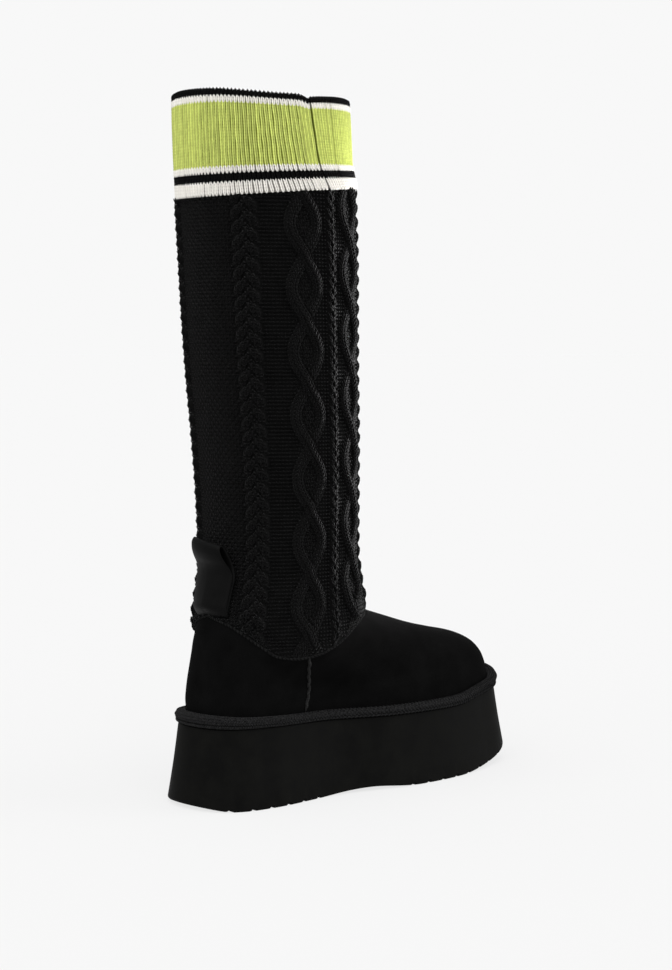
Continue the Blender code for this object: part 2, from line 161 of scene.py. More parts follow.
def grid_mesh(name, rings, finish, round_=True, caps=False):
    """A mesh over rings of points, with a UV map in metres: along each ring, and across the rings."""
    rings = np.asarray(rings, float)
    count, width = rings.shape[:2]
    closed = width if round_ else width - 1
    j = np.arange(closed)
    i = np.arange(count - 1)[:, None]
    k = (j + 1) % width
    quads = np.stack((i * width + j, i * width + k, (i + 1) * width + k, (i + 1) * width + j), axis=2)
    faces = quads.reshape(-1, 4)
    step_around = np.linalg.norm(np.roll(rings, -1, axis=1) - rings, axis=2)
    step_up = np.linalg.norm(np.diff(rings, axis=0), axis=2).mean(axis=1)
    up = np.concatenate(([0.0], np.cumsum(step_up)))
    around = np.concatenate(([0.0], np.cumsum(step_around.mean(axis=0))))
    corners = np.stack(
        (
            np.stack(np.broadcast_arrays(around[j], up[i]), axis=2),
            np.stack(np.broadcast_arrays(around[j + 1], up[i]), axis=2),
            np.stack(np.broadcast_arrays(around[j + 1], up[i + 1]), axis=2),
            np.stack(np.broadcast_arrays(around[j], up[i + 1]), axis=2),
        ),
        axis=2,
    )
    polygons = [tuple(face) for face in faces.tolist()]
    uv = corners.reshape(-1, 2)
    if caps:
        polygons += [tuple(range(width))[::-1], tuple(range((count - 1) * width, count * width))]
        uv = np.concatenate((uv, rings[0][::-1, :2], rings[-1][:, :2]))
    mesh = bpy.data.meshes.new(name)
    mesh.from_pydata(rings.reshape(-1, 3).tolist(), [], polygons)
    mesh.uv_layers.new(name="UVMap").data.foreach_set("uv", uv.ravel())
    mesh.shade_smooth()
    mesh.materials.append(finish)
    mesh.update()
    made = bpy.data.objects.new(name, mesh)
    bpy.context.scene.collection.objects.link(made)
    return made


class Finish:
    """A material being built: its nodes, and short ways to add and join them."""

    def __init__(self, name, colour, roughness):
        self.material = bpy.data.materials.new(name)
        self.material.use_nodes = True
        self.tree = self.material.node_tree
        self.shader = self.tree.nodes["Principled BSDF"]
        self.set(self.shader, "Base Color", (*colour, 1.0))
        self.set(self.shader, "Roughness", roughness)

    def set(self, node, socket, value):
        """Sets a socket to a value, or joins it to another node's output."""
        if isinstance(value, bpy.types.NodeSocket):
            self.tree.links.new(value, node.inputs[socket])
        else:
            node.inputs[socket].default_value = value
        return node

    def node(self, kind, **sockets):
        made = self.tree.nodes.new(kind)
        for name, value in sockets.items():
            self.set(made, name.replace("_", " "), value)
        return made

    def place(self, output="Object"):
        return self.node("ShaderNodeTexCoord").outputs[output]

    def noise(self, place, scale, detail=3.0, rough=0.55):
        made = self.node("ShaderNodeTexNoise", Vector=place, Scale=scale, Detail=detail, Roughness=rough)
        return made.outputs["Fac"]

    def span(self, value, low, high, to_low, to_high):
        made = self.node("ShaderNodeMapRange", Value=value)
        for socket, number in (("From Min", low), ("From Max", high), ("To Min", to_low), ("To Max", to_high)):
            made.inputs[socket].default_value = number
        return made.outputs["Result"]

    def sum(self, first, second, kind="ADD"):
        made = self.node("ShaderNodeMath")
        made.operation = kind
        self.set(made, 0, first)
        self.set(made, 1, second)
        return made.outputs[0]

    def blend(self, share, first, second):
        made = self.node("ShaderNodeMix")
        made.data_type = "RGBA"
        self.set(made, 0, share)
        for index, colour in ((6, first), (7, second)):
            if not isinstance(colour, bpy.types.NodeSocket):
                colour = (*colour, 1.0)
            self.set(made, index, colour)
        return made.outputs[2]

    def bump(self, height, distance, strength=1.0):
        made = self.node("ShaderNodeBump", Height=height, Distance=distance, Strength=strength)
        self.set(self.shader, "Normal", made.outputs["Normal"])

    def sheen(self, weight, roughness, tint):
        self.set(self.shader, "Sheen Weight", weight)
        self.set(self.shader, "Sheen Roughness", roughness)
        self.set(self.shader, "Sheen Tint", (*tint, 1.0))


def foam_finish():
    made = Finish("platform foam", (0.0050, 0.0050, 0.0047), 0.62)
    place = made.place()
    cloud = made.noise(place, 70.0, 4.0)
    grain = made.noise(place, 1900.0, 2.0)
    made.set(made.shader, "Base Color", made.blend(
        made.span(cloud, 0.35, 0.68, 0.0, 1.0), (0.0029, 0.0029, 0.0028), (0.0045, 0.0045, 0.0041)
    ))
    made.set(made.shader, "Roughness", made.span(cloud, 0.3, 0.7, 0.55, 0.70))
    made.bump(made.sum(grain, made.sum(cloud, 2.0, "MULTIPLY")), 0.00012, 0.6)
    made.set(made.shader, "Specular IOR Level", 0.02)
    return made.material


def add_sole():
    turn = turns(SOLE_COLUMNS)
    rings = []
    for side in SOLE_SIDE:
        x, y = footprint(turn, FLARE * side.level + SOLE_EDGE * side.tuck)
        z = mix(tread_lift(x), deck_height(x), side.level) + SOLE_EDGE * side.rise
        rings.append(np.stack((x, y, z), axis=1))
    for inset in (0.02, 0.04):
        x, y = footprint(turn, inset)
        rings.insert(0, np.stack((x, y, tread_lift(x)), axis=1))
    rings.append(rings[-1] * (0.9, 0.8, 1.0))
    body = grid_mesh("platform_sole", rings, foam_finish(), caps=True)
    cut = body.modifiers.new("tread grooves", "BOOLEAN")
    cut.operation = "DIFFERENCE"
    cut.object = tread_cutter()
    grown = bpy.data.meshes.new_from_object(body.evaluated_get(bpy.context.evaluated_depsgraph_get()))
    cutter = cut.object
    body.modifiers.remove(cut)
    bpy.data.objects.remove(cutter)
    body.data = grown
    body.data.shade_smooth()
    body.data.set_sharp_from_angle(angle=math.radians(38))
    return body


def tread_cutter():
    """Bars across the sole with splayed flanks, each reaching the tread depth into it and well below it."""
    points, faces = [], []
    for start, end in TREAD_STRETCHES:
        for x in np.arange(start * SOLE_LENGTH / 2, end * SOLE_LENGTH / 2, TREAD_PITCH):
            first = len(points)
            for share, level in ((-1, "low"), (-1, "high"), (1, "high"), (1, "low")):
                half = TREAD_GROOVE_WIDTH / 2 + (TREAD_GROOVE_SPLAY if level == "low" else -TREAD_GROOVE_SPLAY / 2)
                z = float(tread_lift(x + share * half)) + TREAD_DEPTH if level == "high" else -2 * TREAD_DEPTH
                for y in (-BALL_WIDTH, BALL_WIDTH):
                    points.append((x + share * half, y, z))
            for k in range(4):
                a, b = first + 2 * k, first + 2 * ((k + 1) % 4)
                faces.append((a, b, b + 1, a + 1))
            faces.append(tuple(first + 2 * k for k in (3, 2, 1, 0)))
            faces.append(tuple(first + 2 * k + 1 for k in (0, 1, 2, 3)))
    mesh = bpy.data.meshes.new("tread cutter")
    mesh.from_pydata(points, [], faces)
    made = bpy.data.objects.new("tread cutter", mesh)
    bpy.context.scene.collection.objects.link(made)
    bpy.context.view_layer.update()
    return made


def seat(piece, slot, *nodes):
    """Fixes a finished piece to the boot, and hides the solids of the model that it stands for."""
    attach(piece, "root")
    if nodes:
        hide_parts(*nodes)


seat(add_sole(), "platform_foam", "sole")

# Binding
# A strip of coarse black tape, woven in slanting floats, that wraps the platform's top edge. It is cemented
# between the platform and the suede, and casts a thin dark line on the foam beneath it.
BINDING_WIDTH = 0.0069
BINDING_HEIGHT = 0.0076
BINDING_PROUD = 0.0017
BINDING_GAP = 0.0003
BINDING_COLUMNS = 420
FLOAT_PITCH = 0.0023
FLOAT_SIZE = (0.0016, 0.00075, 0.0006)
FLOAT_SLANT = math.radians(38)

BindingRise = namedtuple("BindingRise", "along share")
BINDING_RISE = (
    BindingRise(-1.00, 1.06),
    BindingRise(-0.85, 0.90),
    BindingRise(-0.50, 0.78),
    BindingRise(0.00, 0.75),
    BindingRise(0.45, 0.80),
    BindingRise(0.75, 0.88),
    BindingRise(0.92, 1.12),
    BindingRise(1.00, 1.30),
)

Edge = namedtuple("Edge", "out up")
BINDING = (
    Edge(0.0, 0.0),
    Edge(0.0, 0.86),
    Edge(0.10, 0.96),
    Edge(0.22, 1.0),
    Edge(0.45, 1.0),
    Edge(0.68, 0.96),
    Edge(0.86, 0.87),
    Edge(0.96, 0.74),
    Edge(1.0, 0.58),
    Edge(0.97, 0.44),
    Edge(0.88, 0.35),
    Edge(0.76, 0.31),
    Edge(0.86, 0.26),
    Edge(0.94, 0.17),
    Edge(0.90, 0.07),
    Edge(0.72, 0.0),
    Edge(0.0, 0.0),
)
FLOAT_ROWS = (
    Edge(0.42, 1.0),
    Edge(0.66, 0.96),
    Edge(0.87, 0.85),
    Edge(0.985, 0.67),
    Edge(0.97, 0.47),
    Edge(0.93, 0.16),
)


def binding_ring(edge, count, shift=0.0):
    turn = turns(count) + shift
    x, y = footprint(turn, FLARE - BINDING_PROUD + BINDING_WIDTH * (1 - edge.out))
    tall = BINDING_HEIGHT * curve(BINDING_RISE, "share", np.cos(turn))
    return np.stack((x, y, deck_height(x) + BINDING_GAP + tall * edge.up), axis=1)


def tape_finish():
    made = Finish("binding tape", (0.021, 0.021, 0.0215), 0.85)
    place = made.place()
    fleck = made.noise(place, 900.0, 3.0)
    made.set(made.shader, "Base Color", made.blend(
        made.span(fleck, 0.35, 0.65, 0.0, 1.0), (0.0045, 0.0045, 0.0046), (0.0155, 0.0155, 0.0158)
    ))
    made.bump(fleck, 0.0003, 0.8)
    made.sheen(0.02, 0.4, (0.8, 0.8, 0.82))
    made.set(made.shader, "Specular IOR Level", 0.04)
    return made.material


def turned(axes):
    """Euler angles of frames whose columns are the given axes."""
    return np.stack(
        (
            np.arctan2(axes[:, 2, 1], axes[:, 2, 2]),
            np.arcsin(np.clip(-axes[:, 2, 0], -1, 1)),
            np.arctan2(axes[:, 1, 0], axes[:, 0, 0]),
        ),
        axis=1,
    )


def unit(vectors):
    return vectors / np.maximum(np.linalg.norm(vectors, axis=-1, keepdims=True), 1e-12)


def yarn_tree():
    """Geometry nodes that set one small float of yarn on each point, turned and sized by its attributes."""
    tree = bpy.data.node_groups.new("yarn floats", "GeometryNodeTree")
    tree.interface.new_socket("Points", in_out="INPUT", socket_type="NodeSocketGeometry")
    tree.interface.new_socket("Fullness", in_out="INPUT", socket_type="NodeSocketFloat")
    tree.interface.new_socket("Yarn", in_out="INPUT", socket_type="NodeSocketMaterial")
    tree.interface.new_socket("Floats", in_out="OUTPUT", socket_type="NodeSocketGeometry")
    nodes, links = tree.nodes, tree.links
    start = nodes.new("NodeGroupInput")
    end = nodes.new("NodeGroupOutput")
    blob = nodes.new("GeometryNodeMeshIcoSphere")
    blob.inputs["Radius"].default_value = 1.0
    blob.inputs["Subdivisions"].default_value = 1
    smooth = nodes.new("GeometryNodeSetShadeSmooth")
    links.new(blob.outputs["Mesh"], smooth.inputs["Geometry"])
    turn = nodes.new("GeometryNodeInputNamedAttribute")
    turn.data_type = "FLOAT_VECTOR"
    turn.inputs["Name"].default_value = "turn"
    size = nodes.new("GeometryNodeInputNamedAttribute")
    size.data_type = "FLOAT_VECTOR"
    size.inputs["Name"].default_value = "size"
    full = nodes.new("ShaderNodeVectorMath")
    full.operation = "SCALE"
    links.new(size.outputs["Attribute"], full.inputs[0])
    links.new(start.outputs["Fullness"], full.inputs["Scale"])
    to_turn = nodes.new("FunctionNodeEulerToRotation")
    links.new(turn.outputs["Attribute"], to_turn.inputs["Euler"])
    put = nodes.new("GeometryNodeInstanceOnPoints")
    links.new(start.outputs["Points"], put.inputs["Points"])
    links.new(smooth.outputs["Geometry"], put.inputs["Instance"])
    links.new(to_turn.outputs["Rotation"], put.inputs["Rotation"])
    links.new(full.outputs["Vector"], put.inputs["Scale"])
    real = nodes.new("GeometryNodeRealizeInstances")
    links.new(put.outputs["Instances"], real.inputs["Geometry"])
    paint = nodes.new("GeometryNodeSetMaterial")
    links.new(real.outputs["Geometry"], paint.inputs["Geometry"])
    links.new(start.outputs["Yarn"], paint.inputs["Material"])
    links.new(paint.outputs["Geometry"], end.inputs["Floats"])
    return tree


YARN_TREE = yarn_tree()


def yarn_floats(name, places, along, normal, sizes, finish, fullness=1.0, colours=None):
    """A piece of many floats of yarn: their middles, the way each runs, the way out, and their half sizes."""
    across = unit(np.cross(normal, along))
    along = unit(np.cross(across, normal))
    mesh = bpy.data.meshes.new(name)
    mesh.from_pydata(places.tolist(), [], [])
    axes = np.stack((along, across, unit(normal)), axis=2)
    mesh.attributes.new("turn", "FLOAT_VECTOR", "POINT").data.foreach_set("vector", turned(axes).ravel())
    mesh.attributes.new("size", "FLOAT_VECTOR", "POINT").data.foreach_set("vector", sizes.ravel())
    if colours is not None:
        tint = np.concatenate((colours, np.ones((len(colours), 1))), axis=1)
        mesh.attributes.new("dye", "FLOAT_COLOR", "POINT").data.foreach_set("color", tint.ravel())
    made = bpy.data.objects.new(name, mesh)
    bpy.context.scene.collection.objects.link(made)
    grow = made.modifiers.new("yarn floats", "NODES")
    grow.node_group = YARN_TREE
    sockets = {item.name: item.identifier for item in YARN_TREE.interface.items_tree}
    grow[sockets["Fullness"]] = fullness
    grow[sockets["Yarn"]] = finish
    bpy.context.view_layer.update()
    grown = bpy.data.meshes.new_from_object(made.evaluated_get(bpy.context.evaluated_depsgraph_get()))
    made.modifiers.remove(grow)
    for spare in ("turn", "size"):
        if spare in grown.attributes:
            grown.attributes.remove(grown.attributes[spare])
    made.data = grown
    return made


def add_binding():
    finish = tape_finish()
    rings = [binding_ring(edge, BINDING_COLUMNS) for edge in BINDING]
    strip = grid_mesh("binding_strip", rings[::-1], finish)
    around = float(np.linalg.norm(np.diff(rings[5], axis=0), axis=1).sum())
    count = round(around / FLOAT_PITCH)
    places, alongs, normals = [], [], []
    for k, edge in enumerate(FLOAT_ROWS):
        shift = math.pi / count * (k % 2)
        ring = binding_ring(edge, count, shift)
        inside = binding_ring(Edge(0.2, 0.3), count, shift)
        run = unit(np.roll(ring, -1, axis=0) - np.roll(ring, 1, axis=0))
        out = unit(ring - inside)
        slant = FLOAT_SLANT if k % 2 else -FLOAT_SLANT
        places.append(ring)
        alongs.append(run * math.cos(slant) + np.cross(out, run) * math.sin(slant))
        normals.append(out)
    places, alongs, normals = (np.concatenate(part) for part in (places, alongs, normals))
    sizes = np.tile(np.array(FLOAT_SIZE), (len(places), 1))
    return strip, yarn_floats("binding_weave", places, alongs, normals, sizes, finish)


binding_strip, binding_weave = add_binding()
seat(binding_strip, "binding_textile", "binding")
seat(binding_weave, "binding_textile")

# Suede foot
# Two pieces of napped black suede, sewn together down each side with the seam turned out into a low ridge.
# The upper is lasted over the footbed and cemented to the deck inside the binding.
UPPER_WALL = 0.003
COLLAR_HEIGHT = 0.1222
COLLAR_TILT = -0.0018
COLLAR_LENGTH = 0.128
COLLAR_WIDTH = 0.093
COLLAR_BACK_X = -0.121
COLLAR_FRONT_X = 0.007
SCOOP_DEPTH = 0.0268
SIDE_SEAM_TOP_X = -0.073
SIDE_SEAM_FOOT_X = -0.0615
SIDE_SEAM_TURN = math.radians(360 * 19 / 64)
SUEDE_COLUMNS = 256
SUEDE_ROWS = 64
SIDE_SEAM_BOW = 0.062
PIPING_RADIUS = 0.0011
PIPING_TUCK = 0.0028

Scoop = namedtuple("Scoop", "turn share")
SCOOP = (
    Scoop(0, 0.0),
    Scoop(45, 0.10),
    Scoop(60, 0.27),
    Scoop(84, 0.74),
    Scoop(98, 0.93),
    Scoop(112, 1.0),
    Scoop(124, 0.95),
    Scoop(136, 0.70),
    Scoop(148, 0.42),
    Scoop(160, 0.20),
    Scoop(180, 0.0),
)

FootRing = namedtuple("FootRing", "step back_rise front_rise back_in front_in footprint width")
FOOT_RINGS = (
    FootRing(0, 0.00, 0.000, 0.00, 0.000, 1.00, 1.00),
    FootRing(1, 0.11, 0.130, -0.06, 0.016, 1.00, 1.00),
    FootRing(2, 0.22, 0.275, 0.00, 0.044, 0.96, 1.00),
    FootRing(3, 0.33, 0.425, 0.08, 0.100, 0.87, 0.96),
    FootRing(4, 0.44, 0.555, 0.20, 0.213, 0.74, 0.93),
    FootRing(5, 0.55, 0.655, 0.34, 0.390, 0.58, 0.89),
    FootRing(6, 0.66, 0.760, 0.50, 0.600, 0.42, 0.87),
    FootRing(7, 0.78, 0.865, 0.66, 0.780, 0.27, 0.90),
    FootRing(8, 0.89, 0.942, 0.84, 0.910, 0.12, 0.95),
    FootRing(9, 1.00, 1.000, 1.00, 1.000, 0.00, 1.00),
)


def scoop(turn):
    """How far the collar seam dips at each turn from the toe."""
    degrees = np.degrees(np.abs((turn + math.pi) % (2 * math.pi) - math.pi))
    return SCOOP_DEPTH * curve(SCOOP, "share", degrees)


def collar_line(along):
    return COLLAR_HEIGHT + COLLAR_TILT * along


def foot_point(turn, step):
    """Points of the suede's outer face at turns round the boot, for one step between its rings."""
    row = {name: curve(FOOT_RINGS, name, step) for name in FootRing._fields[1:]}
    inset = FLARE - BINDING_PROUD + BINDING_WIDTH + BINDING_GAP
    end = SOLE_LENGTH / 2 - inset
    front = mix(end, COLLAR_FRONT_X, row["front_in"])
    back = mix(-end, COLLAR_BACK_X, row["back_in"])
    middle, half_length = (front + back) / 2, (front - back) / 2
    seam_x = mix(SIDE_SEAM_FOOT_X, SIDE_SEAM_TOP_X, row["back_rise"])
    at_seam = math.cos(SIDE_SEAM_TURN)
    along = np.cos(turn)
    along = along + ((seam_x - middle) / half_length - at_seam) / (1 - at_seam**2) * (1 - along**2)
    along = np.clip(along, -1.0, 1.0)
    side = np.sign(np.sin(turn))
    half_width = mix(COLLAR_WIDTH / 2, footprint_width(along, side, inset), row["footprint"])
    half_width = half_width * mix(1.0, row["width"], (1 + along) / 2)
    x = middle + half_length * along
    low = deck_height(x) + BINDING_GAP + BINDING_HEIGHT
    high = collar_line(along) - scoop(np.arccos(along))
    rise = mix(row["back_rise"], row["front_rise"], ((1 + along) / 2) ** 2)
    return np.stack((x, side * np.sqrt(1 - along**2) * half_width, mix(low, high, rise)), axis=-1)


def outward(rings):
    """Unit normals of a grid of rings, each row running round the boot and the rows going up."""
    around = np.roll(rings, -1, axis=1) - np.roll(rings, 1, axis=1)
    return unit(np.cross(around, np.gradient(rings, axis=0)))


def suede_finish():
    made = Finish("black suede", (0.0045, 0.0045, 0.0046), 0.95)
    place = made.place()
    stroke = made.noise(place, 60.0, 3.0)
    nap = made.noise(place, 1400.0, 3.0)
    pile = made.sum(made.span(stroke, 0.3, 0.7, 0.0, 0.7), made.span(nap, 0.3, 0.7, 0.0, 0.3))
    made.set(made.shader, "Base Color", made.blend(pile, (0.0019, 0.0019, 0.0019), (0.0035, 0.0035, 0.0035)))
    made.bump(made.sum(nap, made.sum(stroke, 1.5, "MULTIPLY")), 0.00025, 0.7)
    made.sheen(0.003, 0.35, (0.7, 0.7, 0.7))
    made.set(made.shader, "Specular IOR Level", 0.01)
    return made.material


def lining_finish():
    made = Finish("fleece lining", (0.016, 0.016, 0.0165), 0.95)
    place = made.place()
    curl = made.noise(place, 420.0, 4.0, 0.7)
    made.set(made.shader, "Base Color", made.blend(
        made.span(curl, 0.3, 0.7, 0.0, 1.0), (0.006, 0.006, 0.0062), (0.016, 0.016, 0.0165)
    ))
    made.bump(curl, 0.0012, 0.9)
    made.sheen(0.03, 0.5, (0.7, 0.7, 0.7))
    made.set(made.shader, "Specular IOR Level", 0.03)
    return made.material


SUEDE = suede_finish()
LINING = lining_finish()


def add_suede():
    turn = turns(SUEDE_COLUMNS)
    steps = np.linspace(0, len(FOOT_RINGS) - 1, SUEDE_ROWS)
    rings = np.array([foot_point(turn, step) for step in steps])
    foot = rings[0].copy()
    foot[:, 2] = deck_height(foot[:, 0]) + BINDING_GAP
    outer = np.concatenate((foot[None], rings))
    normals = outward(outer)
    inner = outer - UPPER_WALL * normals
    outer[-1, :, 2] -= 0.0002
    suede = grid_mesh("suede_upper", outer, SUEDE)
    lining = grid_mesh("foot_lining", inner[::-1, ::2], LINING)
    return suede, lining


def tube(name, path, normals, radius, finish, sides=10):
    """A thin round ridge along a path, with its ends drawn to a point."""
    path = np.asarray(path, float)
    run = unit(np.gradient(path, axis=0))
    out = unit(normals - run * (normals * run).sum(axis=1, keepdims=True))
    across = np.cross(run, out)
    taper = np.minimum(1.0, np.minimum(np.arange(len(path)), np.arange(len(path))[::-1]) / 3.0) ** 0.5
    rings = []
    for k, point in enumerate(path):
        angle = turns(sides)[:, None]
        reach = max(radius * taper[k], 1e-6)
        rings.append(point + reach * (np.cos(angle) * out[k] + np.sin(angle) * across[k]))
    return grid_mesh(name, rings, finish)


def edge_finish(name, light):
    made = Finish(name, (light, light, light), 0.9)
    fleck = made.noise(made.place(), 1100.0, 2.0)
    made.set(made.shader, "Base Color", made.blend(
        made.span(fleck, 0.35, 0.65, 0.0, 1.0), (light * 0.36,) * 3, (light,) * 3
    ))
    made.bump(fleck, 0.0003, 0.8)
    made.set(made.shader, "Specular IOR Level", 0.04)
    return made.material


def add_side_seam(side, name):
    steps = np.linspace(0.1, len(FOOT_RINGS) - 1.05, 44)
    share = steps / (len(FOOT_RINGS) - 1)
    turn = side * (SIDE_SEAM_TURN - SIDE_SEAM_BOW * 4 * share * (1 - share))
    path = np.array([foot_point(turn[k:k + 1], step)[0] for k, step in enumerate(steps)])
    beside = np.array([foot_point(turn[k:k + 1] + 0.01, step)[0] for k, step in enumerate(steps)])
    normals = unit(np.cross(beside - path, np.gradient(path, axis=0)))
    wave = 0.00035 * np.sin(np.arange(len(path)) * 0.9)[:, None] * unit(beside - path)
    path = path + 0.0003 * normals + wave
    foot = path[:1] - (0.0, 0.0, PIPING_TUCK)
    return tube(name, np.concatenate((foot, path)), np.concatenate((normals[:1], normals)), PIPING_RADIUS, PIPING)


PIPING = edge_finish("raw suede edge", 0.022)
suede_upper, foot_lining = add_suede()
seat(suede_upper, "suede", "upper")
seat(foot_lining, "footbed_fabric")
seat(add_side_seam(-1, "outer_side_seam"), "suede")
seat(add_side_seam(1, "inner_side_seam"), "suede")

# Footbed
# A padded insole with a soft pile face, cut to the inside of the upper and laid on the platform's deck.
INSOLE_THICKNESS = 0.004
FOOTBED_COLUMNS = 160


def add_footbed():
    turn = turns(FOOTBED_COLUMNS)
    edge = foot_point(turn, 0)
    inset = UPPER_WALL + BINDING_GAP
    rings = []
    for share, rise in ((1.0, 0.0), (1.0, 0.7), (0.985, 1.0), (0.9, 1.05), (0.7, 0.95), (0.4, 0.9), (0.1, 0.9)):
        x = edge[:, 0] * (1 - inset / (SOLE_LENGTH / 2)) * share
        y = (edge[:, 1] - np.sign(edge[:, 1]) * inset * np.abs(np.sin(turn))) * share
        rings.append(np.stack((x, y, deck_height(x) + BINDING_GAP + INSOLE_THICKNESS * rise), axis=1))
    return grid_mesh("footbed", rings, LINING, caps=True)


seat(add_footbed(), "footbed_fabric", "insole")

# Cable-knit shaft
# A tube of thick black wool, knitted in one with plaits, diamond cables filled with moss stitch, narrow twists
# and reverse-stitch gutters between them. It is sewn to the suede along the scooped collar seam.
BOOT_HEIGHT = 0.459
TOP_TILT = -0.003
SHAFT_LENGTH = 0.1265
SHAFT_WIDTH = 0.1096
SHAFT_LEAN = 0.0172
SHAFT_WALL = 0.003
CUFF_HEIGHT = 0.0595
CUFF_TILT = 0.005
STITCH_ROW = 0.0024
STITCH_COLUMN = 2.5
PURL_LIFT = 0.0005
GROUND_DEPTH = 0.0028
COLLAR_SEAM_RADIUS = 0.0008
COLLAR_SEAM_STITCHES = 150
SEAM_FADE = 0.009
CUFF_FADE = 0.003
CUFF_TUCK = 0.4
CABLE_COLUMNS = 432
CABLE_ROWS = 144
MILLIMETRE = 0.001

ShaftRing = namedtuple("ShaftRing", "climb lean length width scoop")
SHAFT_RINGS = (
    ShaftRing(0.0, 0.0, COLLAR_LENGTH / SHAFT_LENGTH, COLLAR_WIDTH / SHAFT_WIDTH, 1.0),
    ShaftRing(0.023, 0.09, 1.021, 0.894, 0.90),
    ShaftRing(0.049, 0.08, 0.996, 0.894, 0.75),
    ShaftRing(0.083, 0.08, 0.960, 0.880, 0.52),
    ShaftRing(0.133, 0.07, 0.914, 0.876, 0.27),
    ShaftRing(0.205, 0.09, 0.908, 0.890, 0.08),
    ShaftRing(0.300, 0.13, 0.915, 0.908, 0.0),
    ShaftRing(0.425, 0.22, 0.935, 0.931, 0.0),
    ShaftRing(0.570, 0.37, 0.956, 0.958, 0.0),
    ShaftRing(0.713, 0.48, 0.978, 0.976, 0.0),
    ShaftRing(0.856, 0.57, 0.992, 0.991, 0.0),
    ShaftRing(1.000, 0.70, 1.000, 1.000, 0.0),
)

# Ropes of the cables on the outer half, repeated as a mirror image on the inner half. Middle, swing, wave
# and width are in degrees of turn or millimetres, one degree being about a millimetre of knit
Rope = namedtuple("Rope", "middle swing sharp wave phase waves shift rise width high tracks")
ROPES = (
    Rope(142.5, 5.9, 1.0, 28.8, 0.00, 2, 0.50, 1.6, 6.8, 2.3, 2),
    Rope(142.5, 5.9, 1.0, 28.8, 1 / 3, 2, 0.50, 1.6, 6.8, 2.3, 2),
    Rope(142.5, 5.9, 1.0, 28.8, 2 / 3, 2, 0.50, 1.6, 6.8, 2.3, 2),
    Rope(104.5, 9.2, 1.3, 82.0, 0.152, 1, 0.25, 1.2, 7.6, 3.0, 3),
    Rope(104.5, 9.2, 1.3, 82.0, 0.652, 1, 0.25, 1.2, 7.6, 3.0, 3),
    Rope(84.0, 2.3, 1.0, 15.0, 0.00, 1, 0.25, 0.7, 3.8, 2.0, 1),
    Rope(84.0, 2.3, 1.0, 15.0, 0.50, 1, 0.25, 0.7, 3.8, 2.0, 1),
    Rope(63.5, 9.2, 1.3, 82.0, 0.031, 1, 0.25, 1.2, 7.6, 3.0, 3),
    Rope(63.5, 9.2, 1.3, 82.0, 0.531, 1, 0.25, 1.2, 7.6, 3.0, 3),
    Rope(26.0, 5.9, 1.0, 28.8, 0.10, 2, 0.50, 0.9, 6.8, 2.3, 2),
    Rope(26.0, 5.9, 1.0, 28.8, 0.10 + 1 / 3, 2, 0.50, 0.9, 6.8, 2.3, 2),
    Rope(26.0, 5.9, 1.0, 28.8, 0.10 + 2 / 3, 2, 0.50, 0.9, 6.8, 2.3, 2),
)

# Soft creases where the knit sags over the ankle on the outer side, in degrees from the toe and millimetres
Fold = namedtuple("Fold", "turn height slant reach thick push")
FOLDS = (
    Fold(162.0, 132.0, 0.20, 24.0, 6.0, 0.9),
    Fold(134.0, 123.0, -0.25, 18.0, 6.0, 1.1),
    Fold(104.0, 112.0, 0.12, 22.0, 6.0, 1.0),
    Fold(76.0, 116.0, -0.22, 20.0, 6.0, 1.1),
    Fold(44.0, 132.0, 0.25, 20.0, 6.0, 1.1),
    Fold(10.0, 146.0, 0.10, 26.0, 6.0, 1.0),
    Fold(118.0, 139.0, 0.25, 20.0, 6.0, 0.9),
    Fold(66.0, 138.0, -0.15, 18.0, 6.0, 1.0),
)


def cuff_line(along):
    return BOOT_HEIGHT - CUFF_HEIGHT + CUFF_TILT * along


def seam_height(turn):
    """Height of the seam between suede and knit at each turn."""
    return collar_line(np.cos(turn)) - scoop(turn)


def shaft_point(turn, z):
    """Points of the shaft's outer face at turns and heights, found by halving on the climb."""
    along = np.cos(turn)
    dip = scoop(turn)
    low, high = np.zeros_like(z), np.ones_like(z) * 1.05
    for _ in range(22):
        middle = (low + high) / 2
        at = mix(collar_line(along), cuff_line(along), middle) - curve(SHAFT_RINGS, "scoop", middle) * dip
        low, high = np.where(at < z, middle, low), np.where(at < z, high, middle)
    climb = (low + high) / 2
    centre = (COLLAR_FRONT_X + COLLAR_BACK_X) / 2 - SHAFT_LEAN * curve(SHAFT_RINGS, "lean", climb)
    x = centre + SHAFT_LENGTH / 2 * curve(SHAFT_RINGS, "length", climb) * along
    y = SHAFT_WIDTH / 2 * curve(SHAFT_RINGS, "width", climb) * np.sin(turn)
    return np.stack((x, y, z), axis=-1)


def rope_swing(rope, millimetres):
    """Where a rope's middle runs, in degrees off the cable's middle, and its slope."""
    angle = 2 * math.pi * (millimetres / rope.wave + rope.phase)
    swing = np.sin(angle)
    steep = np.maximum(np.abs(swing), 0.05) ** (rope.sharp - 1)
    lean = 2 * math.pi / rope.wave * rope.swing * np.cos(angle) * rope.sharp * steep
    return rope.swing * swing * steep, lean


def rope_height(rope, millimetres):
    angle = 2 * math.pi * (rope.waves * (millimetres / rope.wave + rope.phase) + rope.shift)
    return rope.high + rope.rise * np.sin(angle)


def relief(turn, z, ropes=ROPES):
    """Height of the knit in metres over its ground, from the ropes that lie on it."""
    degrees = np.degrees(np.abs((turn + math.pi) % (2 * math.pi) - math.pi))
    millimetres = z / MILLIMETRE
    top = np.zeros_like(degrees)
    for rope in ropes:
        swing, lean = rope_swing(rope, millimetres)
        stretch = np.minimum(np.sqrt(1 + lean**2), 1.7)
        off = (degrees - rope.middle - swing) / (rope.width / 2 * stretch)
        body = rope_height(rope, millimetres) * np.sqrt(np.maximum(0.0, 1 - off**2))
        top = np.maximum(top, body)
    return top * MILLIMETRE


